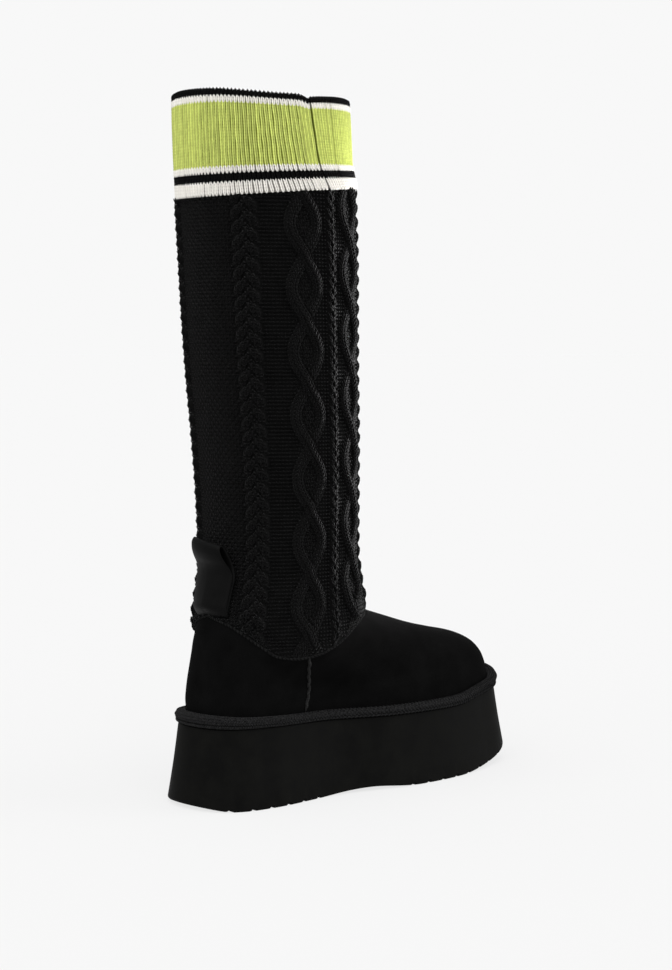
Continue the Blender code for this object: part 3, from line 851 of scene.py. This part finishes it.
def sag(turn, z):
    """How far the creases over the ankle push the knit out, in metres."""
    degrees = -np.degrees((turn + math.pi) % (2 * math.pi) - math.pi)
    push = np.zeros_like(degrees)
    for fold in FOLDS:
        off = degrees - fold.turn
        up = z / MILLIMETRE - fold.height - fold.slant * off
        push = push + fold.push * np.exp(-(off / fold.reach) ** 2 - (up / fold.thick) ** 2)
    return push * MILLIMETRE


def fade(turn, z):
    """How far the cables stand out at a height: not at all at the collar seam and little under the cuff."""
    low = np.clip((z - seam_height(turn)) / SEAM_FADE, 0, 1)
    high = np.clip((cuff_line(np.cos(turn)) - z) / CUFF_FADE, 0, 1)
    return low * low * (3 - 2 * low) * mix(CUFF_TUCK, 1, high * (2 - high))


def knit_point(turn, z):
    """Points of the knit's face with its cables raised, and the way out of the shaft there."""
    small = 1e-4
    base = shaft_point(turn, z)
    around = shaft_point(turn + small * 20, z) - base
    up = shaft_point(turn, z + small * 5) - base
    normal = unit(np.cross(around, up))
    height = relief(turn, z) + sag(turn, z) - GROUND_DEPTH
    return base + normal * (height * fade(turn, z))[..., None], normal


def knit_frame(turn, z, lean=0.0):
    """Points of the knit's face, the way its stitches run and the way out of it, cables and all."""
    step_turn, step_z = 0.012, 0.0006
    here, _ = knit_point(turn, z)
    left, _ = knit_point(turn - step_turn, z)
    right, _ = knit_point(turn + step_turn, z)
    under, _ = knit_point(turn, z - step_z)
    over, _ = knit_point(turn, z + step_z)
    normal = unit(np.cross(right - left, over - under))
    run, _ = knit_point(turn + np.radians(lean * 0.6), z + 0.6 * MILLIMETRE)
    return here, unit(run - here), normal


def in_region(degrees, low, high):
    return (degrees >= low) & (degrees < high)


def knit_stitches():
    """Places of all the stitches: turn, height, slope of their column and kind of stitch."""
    columns = []
    for rope in ROPES:
        for side in (-1, 1):
            z = np.arange(0.096, 0.404, STITCH_ROW)
            swing, lean = rope_swing(rope, z / MILLIMETRE)
            lean = np.clip(lean, -1.5, 1.5)
            stretch = np.minimum(np.sqrt(1 + lean**2), 1.7)
            for track in range(rope.tracks):
                off = (track - (rope.tracks - 1) / 2) * rope.width * 0.36 * stretch
                degrees = rope.middle + swing + off
                own = rope_height(rope, z / MILLIMETRE) * MILLIMETRE
                own = own * np.sqrt(np.maximum(0.0, 1 - (off / (rope.width / 2 * stretch)) ** 2))
                turn = np.radians(degrees) * side
                seen = own > relief(turn, z) - 0.15 * MILLIMETRE
                columns.append((turn[seen], z[seen], (side * lean)[seen], np.zeros(seen.sum(), int)))
    ground = np.arange(STITCH_COLUMN / 2, 180, STITCH_COLUMN)
    for place, degrees in enumerate(ground):
        for side in (-1, 1):
            z = np.arange(0.096, 0.404, STITCH_ROW)
            row = np.arange(len(z))
            turn = np.full(len(z), np.radians(degrees) * side)
            bare = relief(turn, z) < 0.5 * MILLIMETRE
            moss = (degrees < 16) | (degrees > 153) | in_region(degrees, 97, 112) | in_region(degrees, 56, 71)
            kind = np.where((row + place) % 2 == 0, 1, 2) if moss else np.ones(len(z), int)
            columns.append((turn[bare], z[bare], np.zeros(bare.sum()), kind[bare]))
    turn, z, lean, kind = (np.concatenate(part) for part in zip(*columns))
    kept = (z > seam_height(turn) + 0.0012) & (z < cuff_line(np.cos(turn)) - 0.0008)
    return turn[kept], z[kept], lean[kept], kind[kept]


def wool_finish():
    made = Finish("black wool", (0.0075, 0.0075, 0.0078), 0.92)
    place = made.place()
    ply = made.noise(place, 2600.0, 2.0)
    heather = made.noise(place, 120.0, 2.0)
    made.set(made.shader, "Base Color", made.blend(
        made.sum(made.span(ply, 0.3, 0.7, 0.0, 0.6), made.span(heather, 0.3, 0.7, 0.0, 0.4)),
        (0.0018, 0.0018, 0.0018), (0.0043, 0.0043, 0.0043)
    ))
    made.bump(ply, 0.0002, 0.6)
    made.sheen(0.065, 0.35, (0.95, 0.95, 0.96))
    made.set(made.shader, "Specular IOR Level", 0.03)
    return made.material


WOOL = wool_finish()


def add_knit_ground():
    turn = turns(CABLE_COLUMNS)
    low = seam_height(turn) + 0.0001
    high = cuff_line(np.cos(turn)) - 0.0001
    rings = []
    for share in np.linspace(0, 1, CABLE_ROWS):
        z = mix(low, high, share)
        point, normal = knit_point(turn, z)
        rings.append(point - normal * 0.0003)
    ground = grid_mesh("knit_ground", rings, WOOL)
    inside = []
    for share in np.linspace(0, 1, 40):
        point = shaft_point(turn[::3], mix(low, high, share)[::3])
        _, normal = knit_point(turn[::3], mix(low, high, share)[::3])
        inside.append(point - normal * SHAFT_WALL * 1.15)
    return ground, grid_mesh("shaft_lining", inside[::-1], LINING)


def add_stitches():
    """Two slanted floats for each plain stitch, one lying across for each purl, in zones round the shaft."""
    turn, z, lean, kind = knit_stitches()
    point, run, normal = knit_frame(turn, z, lean)
    across = np.cross(normal, run)
    stretch = np.minimum(np.sqrt(1 + lean**2), 1.6)
    column = STITCH_COLUMN * MILLIMETRE
    zones = np.degrees((turn + math.pi) % (2 * math.pi) - math.pi)
    names = ("stitches_back", "stitches_outer", "stitches_front", "stitches_inner")
    zone = np.select([np.abs(zones) > 130, zones < -45, np.abs(zones) <= 45], [0, 1, 2], 3)
    pieces = []
    for k, name in enumerate(names):
        places, alongs, outs, sizes = [], [], [], []
        plain = (zone == k) & ((kind == 0) | (kind == 2))
        for side in (-1, 1):
            places.append(point[plain] + across[plain] * side * column * 0.25 + normal[plain] * 0.0001)
            alongs.append(run[plain] * math.cos(0.42) - across[plain] * side * math.sin(0.42) * -1)
            outs.append(normal[plain])
            long = STITCH_ROW * 0.74 * stretch[plain]
            sizes.append(np.stack((long, np.full_like(long, column * 0.28), np.full_like(long, column * 0.17)), axis=1))
        purl = (zone == k) & (kind == 1)
        places.append(point[purl] + normal[purl] * PURL_LIFT)
        alongs.append(across[purl])
        outs.append(normal[purl])
        flat = np.full(purl.sum(), column * 0.56)
        sizes.append(np.stack((flat, flat * 0.42, flat * 0.42), axis=1))
        parts = [np.concatenate(part) for part in (places, alongs, outs, sizes)]
        pieces.append(yarn_floats(name, *parts, WOOL))
    return pieces


def add_collar_seam():
    """The sewn ridge between suede and knit, with a slanting stitch every few millimetres."""
    turn = turns(COLLAR_SEAM_STITCHES * 3)
    path, normal = knit_point(turn, seam_height(turn))
    run = unit(np.roll(path, -1, axis=0) - np.roll(path, 1, axis=0))
    angle = turns(10)[:, None, None]
    out = unit(np.cross(run, np.cross(normal, run)))
    across = np.cross(run, out)
    rings = path + COLLAR_SEAM_RADIUS * (np.cos(angle) * out + 1.2 * np.sin(angle) * across)
    rings = np.concatenate((rings, rings[:1]))
    ridge = grid_mesh("collar_seam", rings[::-1], edge_finish("bound knit edge", 0.011))
    pick = slice(None, None, 3)
    top = path[pick] + out[pick] * COLLAR_SEAM_RADIUS * 0.8
    slant = run[pick] * math.cos(0.9) + across[pick] * math.sin(0.9)
    sizes = np.tile((0.0013, 0.0004, 0.0004), (len(top), 1))
    return ridge, yarn_floats("collar_stitches", top, slant, out[pick], sizes, SUEDE)


for seam_piece in add_collar_seam():
    seat(seam_piece, "suede")
knit_ground, shaft_lining = add_knit_ground()
seat(knit_ground, "black_knit", "shaft")
seat(shaft_lining, "footbed_fabric")
for zone_piece in add_stitches():
    seat(zone_piece, "black_knit")

# Ribbed cuff
# The knit goes on above the cables in fine upright wales, striped in white, black and lime wool. Each change of
# colour shows as a row of small teeth, the last rows roll over the top, and a seam runs down the outer side.
CUFF_WALL = 0.004
WALES = 140
CUFF_ROWS = 34
STITCH_SLANT = 0.24
CUFF_GROUND_COLUMNS = WALES * 4
CUFF_GROUND_ROWS = 24
STRIPE_BLUR = 0.001
WALE_DEPTH = 0.0010
WALE_UNEVEN = 0.00030
WALE_WANDER = 0.05
LEG_OFF = 0.23
LEG_HALF = 0.185
TOOTH_PROUD = 0.00014
CUFF_RADIUS = (SHAFT_LENGTH + SHAFT_WIDTH) / 4
CUFF_SEAM_WIDTH = 0.45
CUFF_SEAM_GAP = 0.3
CUFF_LEAN_REACH = 0.6
CUFF_DRAW = 0.0027
CUFF_DRAW_TURN = math.radians(-48)
CUFF_DRAW_REACH = 0.8
WHITE_WOOL = (0.90, 0.87, 0.83)
LIME_WOOL = (0.76, 0.85, 0.225)
BLACK_WOOL = (0.005, 0.005, 0.005)

# The first row of each stripe, counted up from the cables
Stripe = namedtuple("Stripe", "row dye")
STRIPES = (
    Stripe(0, WHITE_WOOL),
    Stripe(4, BLACK_WOOL),
    Stripe(7, WHITE_WOOL),
    Stripe(9, LIME_WOOL),
    Stripe(30, WHITE_WOOL),
    Stripe(32, BLACK_WOOL),
)

# How far the rim has sunk, or risen where below zero, at each turn in degrees with the outer side negative
Settle = namedtuple("Settle", "turn drop")
SETTLE = (
    Settle(-180, 0.0008),
    Settle(-160, 0.0008),
    Settle(-135, 0.0018),
    Settle(-120, 0.0022),
    Settle(-104, 0.0018),
    Settle(-98, 0.0034),
    Settle(-94, 0.0024),
    Settle(-80, 0.0004),
    Settle(-65, -0.0012),
    Settle(-43, -0.0026),
    Settle(-20, -0.0024),
    Settle(20, -0.0012),
    Settle(90, 0.0003),
    Settle(137, 0.0008),
    Settle(180, 0.0008),
)

# Where the cuff's seam runs: degrees from the toe at each share of the cuff's height
SeamPlace = namedtuple("SeamPlace", "climb turn")
CUFF_SEAM = (
    SeamPlace(0.0, -85.0),
    SeamPlace(0.28, -91.3),
    SeamPlace(1.0, -96.8),
)

CuffRing = namedtuple("CuffRing", "climb lean length width")
CUFF_RINGS = (
    CuffRing(0.0, 0.70, 1.000, 1.000),
    CuffRing(0.33, 0.77, 1.004, 1.000),
    CuffRing(0.67, 0.83, 1.004, 0.997),
    CuffRing(1.00, 0.88, 1.000, 0.987),
)


def wrapped(turn):
    return (turn + math.pi) % (2 * math.pi) - math.pi


def cuff_point(turn, climb):
    """Points of the cuff's outer face and the way out of it, at turns and shares of its height."""
    along = np.cos(turn)
    length = SHAFT_LENGTH / 2 * curve(CUFF_RINGS, "length", climb)
    width = SHAFT_WIDTH / 2 * curve(CUFF_RINGS, "width", climb)
    centre = (COLLAR_FRONT_X + COLLAR_BACK_X) / 2 - SHAFT_LEAN * curve(CUFF_RINGS, "lean", climb)
    drop = curve(SETTLE, "drop", np.degrees(wrapped(turn)))
    z = mix(cuff_line(along), BOOT_HEIGHT + TOP_TILT * along, climb) - drop * np.asarray(climb) ** 3
    point = np.stack(np.broadcast_arrays(centre + length * along, width * np.sin(turn), z), axis=-1)
    normal = np.stack((np.cos(turn) / length, np.sin(turn) / width, np.zeros_like(turn)), axis=-1)
    draw = CUFF_DRAW * np.exp(-(wrapped(turn - CUFF_DRAW_TURN) / CUFF_DRAW_REACH) ** 2)
    draw = draw * np.clip(np.asarray(climb) / 0.3, 0, 1)
    return point - unit(normal) * draw[..., None], unit(normal)


def wale_turn(wale, climb):
    """Turn of a wale, counted from the seam, which leans with the seam and stands upright away from it."""
    step = wale * 2 * math.pi / WALES
    top, here = math.radians(CUFF_SEAM[-1].turn), np.radians(curve(CUFF_SEAM, "turn", climb))
    return top + step + (here - top) * np.exp(-(wrapped(step) / CUFF_LEAN_REACH) ** 2)


def seam_dent(wale):
    """1 in the middle of the cuff's seam, falling to 0 at the wales beside it."""
    return np.exp(-(((wale + WALES / 2) % WALES - WALES / 2) / CUFF_SEAM_WIDTH) ** 2)


def dye_at(climb):
    """Colour of the wool at each share of the cuff's height."""
    starts = np.array([stripe.row for stripe in STRIPES]) / CUFF_ROWS
    yarn_tones = np.array([stripe.dye for stripe in STRIPES])
    return yarn_tones[np.clip(np.searchsorted(starts, climb, side="right") - 1, 0, len(STRIPES) - 1)]


def striped_finish():
    made = Finish("striped wool", LIME_WOOL, 0.9)
    # The colour attribute read here is each yarn's dye multiplied by painted shade on the cuff's ground and on one leg
    # of each stitch.
    dye = made.node("ShaderNodeAttribute")
    dye.attribute_name = "dye"
    place = made.place()
    ply = made.noise(place, 2400.0, 2.0)
    heather = made.noise(place, 260.0, 3.0)
    share = made.sum(made.span(ply, 0.3, 0.7, 0.0, 0.45), made.span(heather, 0.3, 0.7, 0.0, 0.35))
    shade = made.blend(share, (1.0, 1.0, 1.0), (0.78, 0.78, 0.74))
    tint = made.node("ShaderNodeMix")
    tint.data_type = "RGBA"
    tint.blend_type = "MULTIPLY"
    made.set(tint, 0, 1.0)
    made.set(tint, 6, dye.outputs["Color"])
    made.set(tint, 7, shade)
    made.set(made.shader, "Base Color", tint.outputs[2])
    made.bump(ply, 0.0002, 0.6)
    made.sheen(0.01, 0.4, (0.9, 0.9, 0.9))
    made.set(made.shader, "Specular IOR Level", 0.04)
    return made.material


def add_cuff():
    finish = striped_finish()
    wale = np.arange(CUFF_GROUND_COLUMNS) / 4
    hollow = 0.0004 * np.cos(2 * math.pi * wale) + 0.0012 * seam_dent(wale)
    rings, yarn_tones = [], []
    edges = np.array([stripe.row for stripe in STRIPES[1:]]) / CUFF_ROWS
    level = np.linspace(0, 1, CUFF_GROUND_ROWS)
    for climb in np.sort(np.concatenate((level, edges - STRIPE_BLUR, edges + STRIPE_BLUR))):
        turn = wale_turn(wale, climb)
        point, normal = cuff_point(turn, climb)
        rings.append(point - normal * (WALE_DEPTH + hollow)[:, None])
        # The ground under the wales is painted darker and more saturated than the yarn, as painted shade between the
        # wales, and nearly black down the cuff's seam as a painted shadow in its groove.
        yarn_tones.append(dye_at(np.full(len(turn), climb)) ** 1.5 * (0.32 - 0.30 * seam_dent(wale))[:, None])
    top, out = rings[-1], cuff_point(turn, 1.0)[1]
    for angle in np.radians((30, 60, 90, 120, 150, 180)):
        rings.append(top + out * (CUFF_WALL / 2 * (np.cos(angle) - 1)) + np.array((0, 0, 0.0003)) * np.sin(angle))
        yarn_tones.append(np.tile(BLACK_WOOL, (len(turn), 1)))
    for climb in np.linspace(1, 0, 20):
        point, normal = cuff_point(turn, climb)
        rings.append(point - normal * CUFF_WALL)
        yarn_tones.append(dye_at(np.full(len(turn), climb)))
    ground = grid_mesh("cuff_ground", rings, finish)
    tint = np.concatenate(yarn_tones)
    tint = np.concatenate((tint, np.ones((len(tint), 1))), axis=1)
    ground.data.attributes.new("dye", "FLOAT_COLOR", "POINT").data.foreach_set("color", tint.ravel())
    return ground, add_cuff_stitches(finish)


def add_cuff_stitches(finish):
    """Two slanted floats for each stitch of each wale, and one over the rim where the wale ends."""
    chance = np.random.default_rng(7)
    index = np.arange(WALES) + 0.5
    off = (index + WALES / 2) % WALES - WALES / 2
    index = index + np.sign(off) * CUFF_SEAM_GAP * np.exp(-(off / 2.5) ** 2)
    index = np.tile(index, CUFF_ROWS)
    climb = np.repeat((np.arange(CUFF_ROWS) + 0.5) / CUFF_ROWS, WALES)
    set_back = np.tile(chance.uniform(-WALE_UNEVEN, WALE_UNEVEN, WALES), CUFF_ROWS)
    faded = np.tile(chance.uniform(0.78, 1.0, WALES), CUFF_ROWS) * chance.uniform(0.84, 1.0, len(climb))
    rate = np.tile(chance.uniform(1.5, 4.5, WALES), CUFF_ROWS)
    phase = np.tile(chance.uniform(0, 1, WALES), CUFF_ROWS)
    index = index + WALE_WANDER * np.sin(2 * math.pi * (rate * climb + phase))
    pitch = 2 * math.pi * CUFF_RADIUS / WALES
    turn = wale_turn(index, climb)
    point, normal = cuff_point(turn, climb)
    over, _ = cuff_point(wale_turn(index, climb + 0.01), climb + 0.01)
    tall = np.linalg.norm(over - point, axis=1) * 100 / CUFF_ROWS
    run = unit(over - point)
    across = np.cross(normal, run)
    point = point + normal * (set_back[:, None] - 0.0003)
    same = np.ones_like(tall)
    places, alongs, outs, sizes, yarn_tones = [], [], [], [], []
    white = (dye_at(climb)[:, 2] > 0.5)[:, None]
    # The legs on one side of each wale are painted darker, a painted shade as though the light fell from the other
    # side; the per-wale and per-stitch fading is random tone, and whites keep more of both.
    for side, painted_leg_shade in ((-1, 0.70), (1, 1.0)):
        places.append(point + across * side * pitch * LEG_OFF + normal * TOOTH_PROUD * white)
        alongs.append(run * math.cos(STITCH_SLANT) + across * side * math.sin(STITCH_SLANT))
        outs.append(normal)
        sizes.append(np.stack((tall, same * pitch * LEG_HALF, same * pitch * 0.30), axis=1))
        yarn_tones.append(dye_at(climb) * (faded * painted_leg_shade)[:, None] ** np.where(white, 0.3, 1.0))
    rim = wale_turn(index[:WALES], 1.0)
    point, normal = cuff_point(rim, 1.0)
    places.append(point - normal * CUFF_WALL * 0.42 - (0.0, 0.0, 0.0004))
    alongs.append(normal)
    outs.append(np.tile((0.0, 0.0, 1.0), (WALES, 1)))
    sizes.append(np.tile((CUFF_WALL * 0.55, pitch * 0.33, 0.0020), (WALES, 1)))
    yarn_tones.append(np.tile(BLACK_WOOL, (WALES, 1)))
    parts = [np.concatenate(part) for part in (places, alongs, outs, sizes)]
    return yarn_floats("cuff_stitches", *parts, finish, colours=np.concatenate(yarn_tones))


cuff_ground, cuff_stitches = add_cuff()
seat(cuff_ground, "rib_knit", "cuff")
seat(cuff_stitches, "rib_knit")

# Pull tab
# A smooth black strap folded in two and sewn into the heel of the collar seam. It lies against the knit and
# its fold leans out to take a finger. The strap is left bare.
TAB_WIDTH = 0.0325
TAB_TILT = 0.0022
TAB_ROOT = 0.14
TAB_SUNK = -0.35
TAB_OFFSET = -0.0028
TAB_HEIGHT = 0.0488
TAB_LIFT = 0.0085
TAB_THICKNESS = 0.0014
TAB_SEAT = 0.0012
TAB_OVER = 0.0017
TAB_STATIONS = 33

TabBreadth = namedtuple("TabBreadth", "up share")
TAB_BREADTHS = (
    TabBreadth(0.0, 0.90),
    TabBreadth(0.30, 0.96),
    TabBreadth(0.52, 1.02),
    TabBreadth(0.72, 0.92),
    TabBreadth(1.0, 0.77),
)

TabFold = namedtuple("TabFold", "step layer out up")
TAB_FOLDS = (
    TabFold(0, 1.0, 0.00, 0.00),
    TabFold(1, 1.0, 0.00, 0.22),
    TabFold(2, 1.0, 0.02, 0.42),
    TabFold(3, 1.0, 0.10, 0.58),
    TabFold(4, 1.0, 0.38, 0.69),
    TabFold(5, 1.0, 0.74, 0.79),
    TabFold(6, 1.0, 0.95, 0.88),
    TabFold(7, 0.9, 1.00, 0.95),
    TabFold(8, 0.5, 0.88, 1.00),
    TabFold(9, 0.0, 0.68, 0.97),
    TabFold(10, 0.0, 0.44, 0.88),
    TabFold(11, 0.0, 0.20, 0.77),
    TabFold(12, 0.0, 0.05, 0.65),
    TabFold(13, 0.0, 0.00, 0.45),
    TabFold(14, 0.0, 0.00, 0.22),
    TabFold(15, 0.0, 0.00, 0.00),
)


def strap_finish():
    made = Finish("tab strap", (0.012, 0.012, 0.0122), 0.5)
    place = made.place()
    grain = made.noise(place, 1300.0, 3.0)
    wear = made.noise(place, 90.0, 2.0)
    made.set(made.shader, "Base Color", made.blend(
        made.span(wear, 0.3, 0.7, 0.0, 1.0), (0.0014, 0.0014, 0.0014), (0.0024, 0.0024, 0.0024)
    ))
    made.set(made.shader, "Roughness", made.span(wear, 0.3, 0.7, 0.42, 0.58))
    made.bump(grain, 0.00012, 0.6)
    made.set(made.shader, "Specular IOR Level", 0.045)
    return made.material


def tab_point(across, up, out):
    """Points on the heel of the knit, at a height above the collar seam and a distance out from it."""
    tilt = TAB_TILT * (up / TAB_HEIGHT) ** 2 * across / (TAB_WIDTH * 0.4)
    z = seam_height(math.pi) + BINDING_GAP + up + tilt
    turn = math.pi - np.arcsin(across / (SHAFT_WIDTH / 2 * 0.9))
    base = shaft_point(turn, z)
    base[..., 0] -= out
    return base


def add_tab():
    steps = np.linspace(0, len(TAB_FOLDS) - 1, 76)
    layer, lift, up = (curve(TAB_FOLDS, name, steps) for name in ("layer", "out", "up"))
    free = mix(TAB_SUNK, 1, np.clip(up / TAB_ROOT, 0, 1))
    middle = np.stack(((TAB_SEAT + layer * TAB_OVER) * free + lift * TAB_LIFT, up * TAB_HEIGHT), axis=1)
    run = unit(np.gradient(middle, axis=0))
    side = np.stack((-run[:, 1], run[:, 0]), axis=1) * TAB_THICKNESS / 2
    outline = np.concatenate((middle + side, (middle - side)[::-1]))
    rings = []
    for share in np.concatenate(((-1.0, -0.985), np.linspace(-0.96, 0.96, TAB_STATIONS), (0.985, 1.0))):
        pinch = np.interp(abs(share), (0.96, 0.985, 1.0), (1.0, 0.8, 0.35))
        ring = []
        for (out, height), (mid_out, mid_up) in zip(outline, np.concatenate((middle, middle[::-1]))):
            out, height = mid_out + (out - mid_out) * pinch, mid_up + (height - mid_up) * pinch
            half = TAB_WIDTH / 2 * curve(TAB_BREADTHS, "share", height / TAB_HEIGHT)
            ring.append(tab_point(np.array([TAB_OFFSET + share * half]), height, out)[0])
        rings.append(ring)
    return grid_mesh("pull_tab_strap", rings, strap_finish(), caps=True)


seat(add_tab(), "tab_strap", "pull_tab")

# Studio
# A plain pale floor that runs on into a white room, soft lamps to the boot's side and above, and the camera.
CAMERA_TURN = math.radians(43.223)
CAMERA_PITCH = math.radians(3.891)
CAMERA_DISTANCE = 1.43976
CAMERA_HEIGHT = 0.30164
CAMERA_OFFSET = 0.004794
CAMERA_FOCAL_PIXELS = 2096.29
FRAME_HEIGHT_PIXELS = 970
SENSOR = 36.0
FLOOR_SIZE = 400.0
FLOOR_GLOW = 0.80
ROOM_LIGHT = 0.938

Lamp = namedtuple("Lamp", "name turn height spread strength")
LAMPS = (
    Lamp("side lamp", math.radians(-40), math.radians(20), math.radians(50), 1.3),
    Lamp("front lamp", math.radians(-148), math.radians(52), math.radians(70), 2.2),
)
EDGE_LAMP_POWER = 330.0
EDGE_LAMP_PLACE = (1.2, -0.02, 0.20)
EDGE_LAMP_AIM = (-0.07, 0.0, 0.285)
EDGE_LAMP_CONE = math.radians(16)


def add_floor():
    """A floor that the room and the lamps light to just the brightness of the wall behind it."""
    light = ROOM_LIGHT + sum(lamp.strength * math.sin(lamp.height) for lamp in LAMPS) / math.pi
    shade = ROOM_LIGHT * (1 - FLOOR_GLOW) / light
    half = FLOOR_SIZE / 2
    mesh = bpy.data.meshes.new("studio_floor")
    mesh.from_pydata([(-half, -half, 0), (half, -half, 0), (half, half, 0), (-half, half, 0)], [], [(0, 1, 2, 3)])
    made = Finish("pale floor", (shade, shade, shade), 1.0)
    made.set(made.shader, "Specular IOR Level", 0.0)
    made.set(made.shader, "Emission Color", (1.0, 1.0, 1.0, 1.0))
    made.set(made.shader, "Emission Strength", ROOM_LIGHT * FLOOR_GLOW)
    mesh.materials.append(made.material)
    floor = bpy.data.objects.new("studio_floor", mesh)
    bpy.context.scene.collection.objects.link(floor)


def aim(thing, place, back):
    """Puts a lamp or the camera at a place, upright, with its back to a direction."""
    back = unit(np.array(back, float))
    right = unit(np.cross((0.0, 0.0, 1.0), back))
    up = np.cross(back, right)
    rows = [[right[k], up[k], back[k], place[k]] for k in range(3)]
    thing.matrix_world = Matrix(rows + [[0, 0, 0, 1]])


def add_lamps():
    for lamp in LAMPS:
        light = bpy.data.lights.new(lamp.name, "SUN")
        light.energy = lamp.strength
        light.angle = lamp.spread
        made = bpy.data.objects.new(lamp.name, light)
        bpy.context.scene.collection.objects.link(made)
        level = math.cos(lamp.height)
        back = (level * math.cos(lamp.turn), level * math.sin(lamp.turn), math.sin(lamp.height))
        aim(made, back, back)


def add_edge_lamp():
    """A soft-edged lamp beyond the toe that grazes the knit's outer front and clears the floor."""
    light = bpy.data.lights.new("edge lamp", "SPOT")
    light.energy = EDGE_LAMP_POWER
    light.spot_size = EDGE_LAMP_CONE
    light.spot_blend = 0.5
    light.shadow_soft_size = 0.05
    made = bpy.data.objects.new("edge lamp", light)
    bpy.context.scene.collection.objects.link(made)
    aim(made, EDGE_LAMP_PLACE, np.subtract(EDGE_LAMP_PLACE, EDGE_LAMP_AIM))


def add_room():
    world = bpy.data.worlds.new("white room")
    world.use_nodes = True
    wall = world.node_tree.nodes["Background"]
    wall.inputs["Color"].default_value = (1.0, 1.0, 1.0, 1.0)
    wall.inputs["Strength"].default_value = ROOM_LIGHT
    bpy.context.scene.world = world


def add_camera():
    lens = bpy.data.cameras.new("camera")
    lens.sensor_fit = "VERTICAL"
    lens.sensor_height = SENSOR
    lens.lens = CAMERA_FOCAL_PIXELS * SENSOR / FRAME_HEIGHT_PIXELS
    lens.clip_end = 50.0
    camera = bpy.data.objects.new("camera", lens)
    bpy.context.scene.collection.objects.link(camera)
    s, c = math.sin(CAMERA_TURN), math.cos(CAMERA_TURN)
    place = np.array((
        -CAMERA_OFFSET * c - CAMERA_DISTANCE * s,
        CAMERA_OFFSET * s - CAMERA_DISTANCE * c,
        CAMERA_HEIGHT,
    ))
    look = np.array((s * math.cos(CAMERA_PITCH), c * math.cos(CAMERA_PITCH), -math.sin(CAMERA_PITCH)))
    aim(camera, place, -look)
    bpy.context.scene.camera = camera


add_floor()
add_room()
add_lamps()
add_edge_lamp()
add_camera()
bpy.context.scene.view_settings.view_transform = "Standard"
